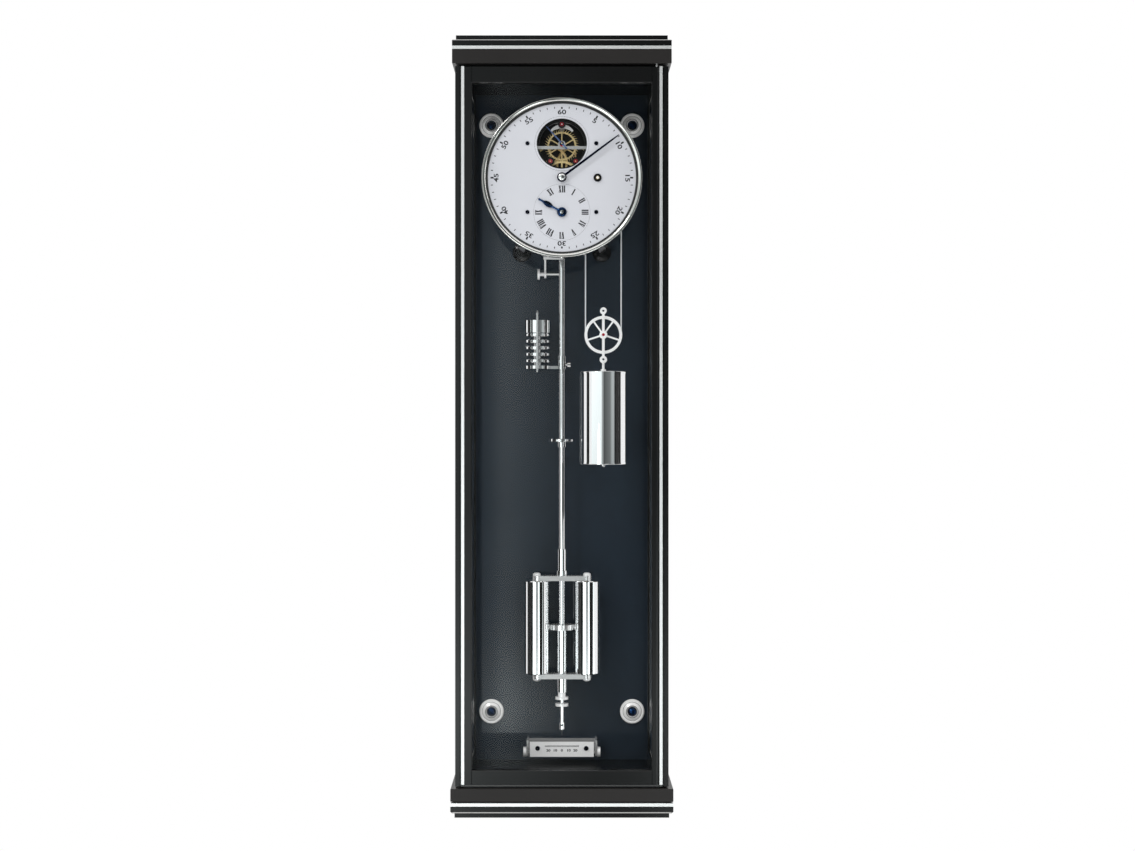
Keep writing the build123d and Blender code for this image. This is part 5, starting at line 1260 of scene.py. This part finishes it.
@dataclass
class Pendulum(Assembly):
    """The pendulum, its bob and the beat scale below it."""

    mark_count: int = 41
    mark_row: float = 44.0 * MM
    mark_size: Point2 = (0.6 * MM, 2.0 * MM)  # width and length
    mark_drop: float = 5.5 * MM  # from the scale's top
    figure_step: float = 8.9 * MM
    figure_drop: float = 11.2 * MM  # from the scale's top
    figure_height: float = 3.2 * MM
    figure_boldness: float = 0.16 * MM  # how far strokes grow on each side
    figure_stretch: float = 1.25
    screw_offset: float = 32.0 * MM
    screw_drop: float = 8.3 * MM  # from the scale's top
    # radius and depth in millimetres
    screw_cap: Outline = ((0.0, -0.1), (3.1, -0.1), (3.1, -1.1), (2.7, -1.5), (0.0, -1.5))
    nut_height: float = 3.4 * MM  # each rating nut's ribbed rim
    nut_hub: float = 6.4 * MM  # above the upper rim
    thumb_width: float = 4.0 * MM  # a rim of the scale's spindle
    knob_width: float = 2.9 * MM  # the beat screw's rim
    rib_count: int = 36
    rib_size: Point2 = (0.28 * MM, 0.9 * MM)  # height and width
    rib_share: float = 0.8  # how much of the rim's width a rib covers
    rib_seat: float = 0.15 * MM  # how deep a rib's middle sits

    def build(self) -> None:
        """Dress the pendulum and the scale."""
        self.dress(CHROME, "pendulum_rod", "barometer", "regulating_table", "bob_cylinders",
                   "bob_tubes")
        self.dress(SATIN, "bob_bolts", "rating_nuts", "scale_spindle")
        self.dress(STEEL, "bob_yokes", "scale_bracket")
        self.dress(SCALE_WHITE, "beat_scale")
        self.graduation()
        self.knurls()

    def graduation(self) -> None:
        """Print the beat scale's marks and figures, and set its screws."""
        (_, face, _), (_, _, top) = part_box("beat_scale")
        place = Matrix.Translation((0.0, face, top - self.mark_drop)) @ FACING
        marks = TREES.run(TREES.row_of_blocks, {
            "Count": self.mark_count, "Length": self.mark_row,
            "Block": (*self.mark_size, BLOCK_DEPTH),
        }, place, INK)
        new_object("scale_marks", marks, INK, "scale")
        figures = Print(face)
        for step in range(-2, 3):
            middle = (step * self.figure_step, top - self.figure_drop)
            figures.words(str(10 * abs(step)), radial(middle, 0.0, 0.0), self.figure_height,
                          self.figure_boldness, self.figure_stretch)
        figures.lay("scale_figures", INK, "scale")
        for name, side in (("scale_screw_left", -1), ("scale_screw_right", 1)):
            turned(name, (side * self.screw_offset, top - self.screw_drop), face,
                   self.screw_cap, BLUE_BLACK, "case", steps=48)

    def knurls(self) -> None:
        """Rib the rims of the nuts and knobs that fingers turn."""
        low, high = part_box("rating_nuts")
        middle = box_centre("rating_nuts")
        half = self.nut_height / 2
        self.rims("rating_nut_ribs", "rating", (high[0] - low[0]) / 2, self.nut_height, [
            Matrix.Translation((middle.x, middle.y, height))
            for height in (low[2] + half, high[2] - self.nut_hub - half)
        ])
        for node, body, wide, both in (
            ("scale_spindle", "scale_adjuster", self.thumb_width, True),
            ("beat_screw", "beat_adjuster", self.knob_width, False),
        ):
            low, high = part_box(node)
            middle = box_centre(node)
            ends = [low[0] + wide / 2, high[0] - wide / 2]
            self.rims(f"{node}_ribs", body, (high[2] - low[2]) / 2, wide, [
                Matrix.Translation((x, middle.y, middle.z)) @ SIDEWAYS
                for x in ends[:2 if both else 1]
            ])

    def rims(self, name: str, body: str, radius: float, width: float,
             places: Sequence[Matrix]) -> None:
        """Rib rims of one size with the geometry tree.

        Args:
            name: The piece's name.
            body: The body it rides on.
            radius: A rim's radius.
            width: How wide a rim is.
            places: Where each rim's middle is, its axis along Z.
        """
        new_object(name, join_meshes(
            TREES.run(TREES.ring_of_blocks, {
                "Count": self.rib_count, "Radius": radius - self.rib_seat,
                "Block": (*self.rib_size, width * self.rib_share),
                "Skip": self.rib_count + 1, "Turn": 0.0,
            }, place, SATIN)
            for place in places
        ), SATIN, body)


# -------------------------------------------------------------------- studio

# bearing in degrees and tone of the card's upper part, and of its lower part
UPPER_TONES = ((-62.0, 1.0), (-9.0, 0.92), (-6.0, 0.20), (-5.4, 0.12), (-4.6, 0.22),
               (-4.05, 0.32), (-3.95, 0.60), (-3.0, 0.52), (-2.0, 0.38), (0.0, 0.21),
               (1.6, 0.12), (5.0, 0.07), (8.0, 0.10), (20.0, 0.13), (34.0, 0.17),
               (44.0, 0.40), (54.0, 0.40), (60.0, 0.1), (66.0, 0.1))
LOWER_TONES = ((-62.0, 0.02), (-36.0, 0.02), (-33.0, 2.4), (-9.0, 2.4), (-6.0, 0.42),
               (-5.4, 0.30), (-4.6, 0.46), (-4.05, 0.56), (-3.95, 1.0), (-3.0, 0.84),
               (-2.0, 0.54), (0.0, 0.25), (1.6, 0.12), (5.0, 0.06), (7.5, 0.12),
               (9.0, 2.4), (23.0, 2.4), (25.0, 0.02), (52.0, 0.02), (55.0, 2.0),
               (66.0, 2.0))
# height in metres and share of the card's strength
CARD_LEVELS = ((-1.45, 0.30), (-0.94, 0.36), (-0.82, 0.92), (-0.75, 0.80), (-0.6, 0.45),
               (-0.48, 0.32), (-0.36, 0.30), (-0.24, 0.46), (0.0, 0.58), (0.2, 0.65),
               (0.45, 0.62), (0.72, 0.44), (0.92, 0.30), (1.7, 0.4))


@dataclass
class Studio:
    """Floor, lamps, surroundings and camera."""

    distance: float = 2.2  # from the case's front to the camera
    view_width: float = 1.4242  # seen at the case's front
    axis_height: float = -0.0154  # of the camera
    shift: Point2 = (0.00498, 0.00396)  # of the view, sideways and up
    sensor: float = 36.0  # in millimetres
    floor_radius: float = 3.4
    floor_place: Point3 = (0.0, -0.4, -1.5)
    surround_light: float = 0.85  # share of the white surround that lights the clock
    card_radius: float = 2.55
    card_axis: float = -0.1  # y of the curved card's axis
    card_bearings: Point2 = (-62.0, 66.0)  # left and right edge, in degrees
    card_heights: Point2 = (-1.45, 1.7)  # lower and upper edge
    card_steps: int = 96  # flat lengths round the curve
    card_strength: float = 2.0
    card_warmth: float = 0.93  # share of red in its glow
    card_change: Point2 = (-0.36, -0.24)  # where the lower tones give way to the upper ones
    flag_top: float = 0.6
    aim_depth: float = -0.1  # y at which the lamps are aimed

    def build(self) -> None:
        """Build everything that isn't the object."""
        self.floor()
        self.surroundings()
        self.card()
        self.flags()
        self.lamps()
        self.camera()

    def floor(self) -> None:
        """Lay a round pale floor well below the object."""
        sheet = bmesh.new()
        bmesh.ops.create_circle(sheet, cap_ends=True, radius=self.floor_radius, segments=96)
        mesh = mesh_of(sheet)
        mesh.transform(Matrix.Translation(self.floor_place))
        mesh.materials.append(material_of(FLOOR_PALE))
        linked("floor", mesh)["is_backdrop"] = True

    def surroundings(self) -> None:
        """Set a white surround, a little dimmer for the light it gives."""
        world = bpy.data.worlds.new("studio")
        bpy.context.scene.world = world
        sheet = blank_sheet(world)
        path = sheet.add("ShaderNodeLightPath").outputs
        seen = sheet.math("MAXIMUM", path["Is Camera Ray"], path["Is Glossy Ray"])
        seen = sheet.math("MAXIMUM", seen, path["Is Transmission Ray"])
        back = sheet.add("ShaderNodeBackground", {
            "Color": (1.0, 1.0, 1.0, 1.0),
            "Strength": sheet.remap(seen, new=(self.surround_light, 1.0)),
        })
        sheet.add("ShaderNodeOutputWorld", {"Surface": back.outputs["Background"]})

    def hang(self, name: str, mesh: Mesh, material: bpy.types.Material) -> None:
        """Hang a card that polished surfaces alone see.

        Args:
            name: Its name.
            mesh: Its mesh.
            material: Its material.
        """
        mesh.materials.append(material)
        card = linked(name, mesh)
        card.visible_camera = False
        card.visible_diffuse = False
        card.visible_shadow = False
        card.visible_transmission = False
        card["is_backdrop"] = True

    def card(self) -> None:
        """Hang a curved, graded card behind the camera for what shines to reflect."""
        low, high = self.card_bearings
        points = []
        for index in range(self.card_steps + 1):
            angle = math.radians(low + (high - low) * index / self.card_steps)
            x = self.card_radius * math.sin(angle)
            y = self.card_axis - self.card_radius * math.cos(angle)
            points += [(x, y, z) for z in self.card_heights]
        faces = [(at, at + 1, at + 3, at + 2) for at in range(0, 2 * self.card_steps, 2)]
        self.hang("graded_card", flat_mesh(points, faces), self.card_glow())

    def card_glow(self) -> bpy.types.Material:
        """Make the card's glow, graded by bearing and by height.

        Returns:
            The material.
        """
        material = bpy.data.materials.new("card_glow")
        sheet = blank_sheet(material)
        place = sheet.split(sheet.add("ShaderNodeTexCoord").outputs["Object"])
        angle = sheet.math("ARCTAN2", place["X"],
                           sheet.math("SUBTRACT", self.card_axis, place["Y"]))
        low, high = self.card_bearings
        where = sheet.remap(angle, (math.radians(low), math.radians(high)))
        upper, lower = (
            sheet.ramp(where, [
                ((bearing - low) / (high - low), (tone * self.card_warmth, tone, tone))
                for bearing, tone in tones
            ])
            for tones in (UPPER_TONES, LOWER_TONES)
        )
        bottom, top = self.card_heights
        level = sheet.ramp(sheet.remap(place["Z"], self.card_heights), [
            ((height - bottom) / (top - bottom), grey(share)) for height, share in CARD_LEVELS
        ])
        glow = sheet.add("ShaderNodeEmission", {
            "Color": sheet.blend(sheet.remap(place["Z"], self.card_change), lower, upper),
            "Strength": sheet.math("MULTIPLY", level, self.card_strength),
        })
        sheet.add("ShaderNodeOutputMaterial", {"Surface": glow.outputs["Emission"]})
        return material

    def flags(self) -> None:
        """Stand a black flag at each side to draw dark edges on the polished metal."""
        material = bpy.data.materials.new("flag_black")
        sheet = blank_sheet(material)
        shader = sheet.add("ShaderNodeBsdfPrincipled",
                           {"Base Color": (*grey(0.003), 1.0), "Roughness": 0.9})
        sheet.add("ShaderNodeOutputMaterial", {"Surface": shader.outputs["BSDF"]})
        # name, where the near and the far edge stand, height of the lower edge
        for name, near, far, low in (
            ("flag_left", (-0.234, -0.18), (-0.573, -0.054), -0.6),
            ("flag_right", (0.236, -0.204), (0.60, -0.04), -0.15),
        ):
            corners = [(*near, low), (*far, low), (*far, self.flag_top), (*near, self.flag_top)]
            self.hang(name, flat_mesh(corners, [(0, 1, 2, 3)]), material)

    def lamps(self) -> None:
        """Hang a soft key lamp at upper left and fill in from the right and from below."""
        # name, place, size, power, height of what it is aimed at
        for name, place, size, power, height in (
            ("key_lamp", (-1.7, -2.0, 2.1), 0.7, 26.0, 0.1),
            ("side_lamp", (2.6, -1.0, 0.8), 1.4, 10.0, 0.1),
            ("fill_lamp", (-0.75, -1.9, -0.3), 0.6, 2.2, -0.45),
        ):
            light = bpy.data.lights.new(name, "AREA")
            light.shape = "DISK"
            light.size = size
            light.energy = power
            lamp = linked(name, light)
            lamp.location = place
            lamp.visible_transmission = False
            way = Vector((0.0, self.aim_depth, height)) - Vector(place)
            lamp.rotation_euler = way.to_track_quat("-Z", "Y").to_euler()

    def camera(self) -> None:
        """Place the camera square to the case's front."""
        low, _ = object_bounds()
        data = bpy.data.cameras.new("camera")
        data.sensor_width = self.sensor
        data.lens = self.sensor * self.distance / self.view_width
        data.shift_x, data.shift_y = self.shift
        camera = linked("camera", data)
        camera.location = (0.0, low[1] - self.distance, self.axis_height)
        camera.rotation_euler = (math.radians(90), 0.0, 0.0)
        bpy.context.scene.camera = camera
        bpy.context.scene.view_settings.view_transform = "Standard"


def main() -> None:
    """Build the whole scene."""
    logging.basicConfig(level=logging.INFO, format="%(name)s: %(message)s")
    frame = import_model()
    nodes = frame["nodes"]
    for assembly in (Case(nodes), Dial(nodes), Movement(nodes), Pendulum(nodes), Studio()):
        assembly.build()


if __name__ == "__main__":
    main()
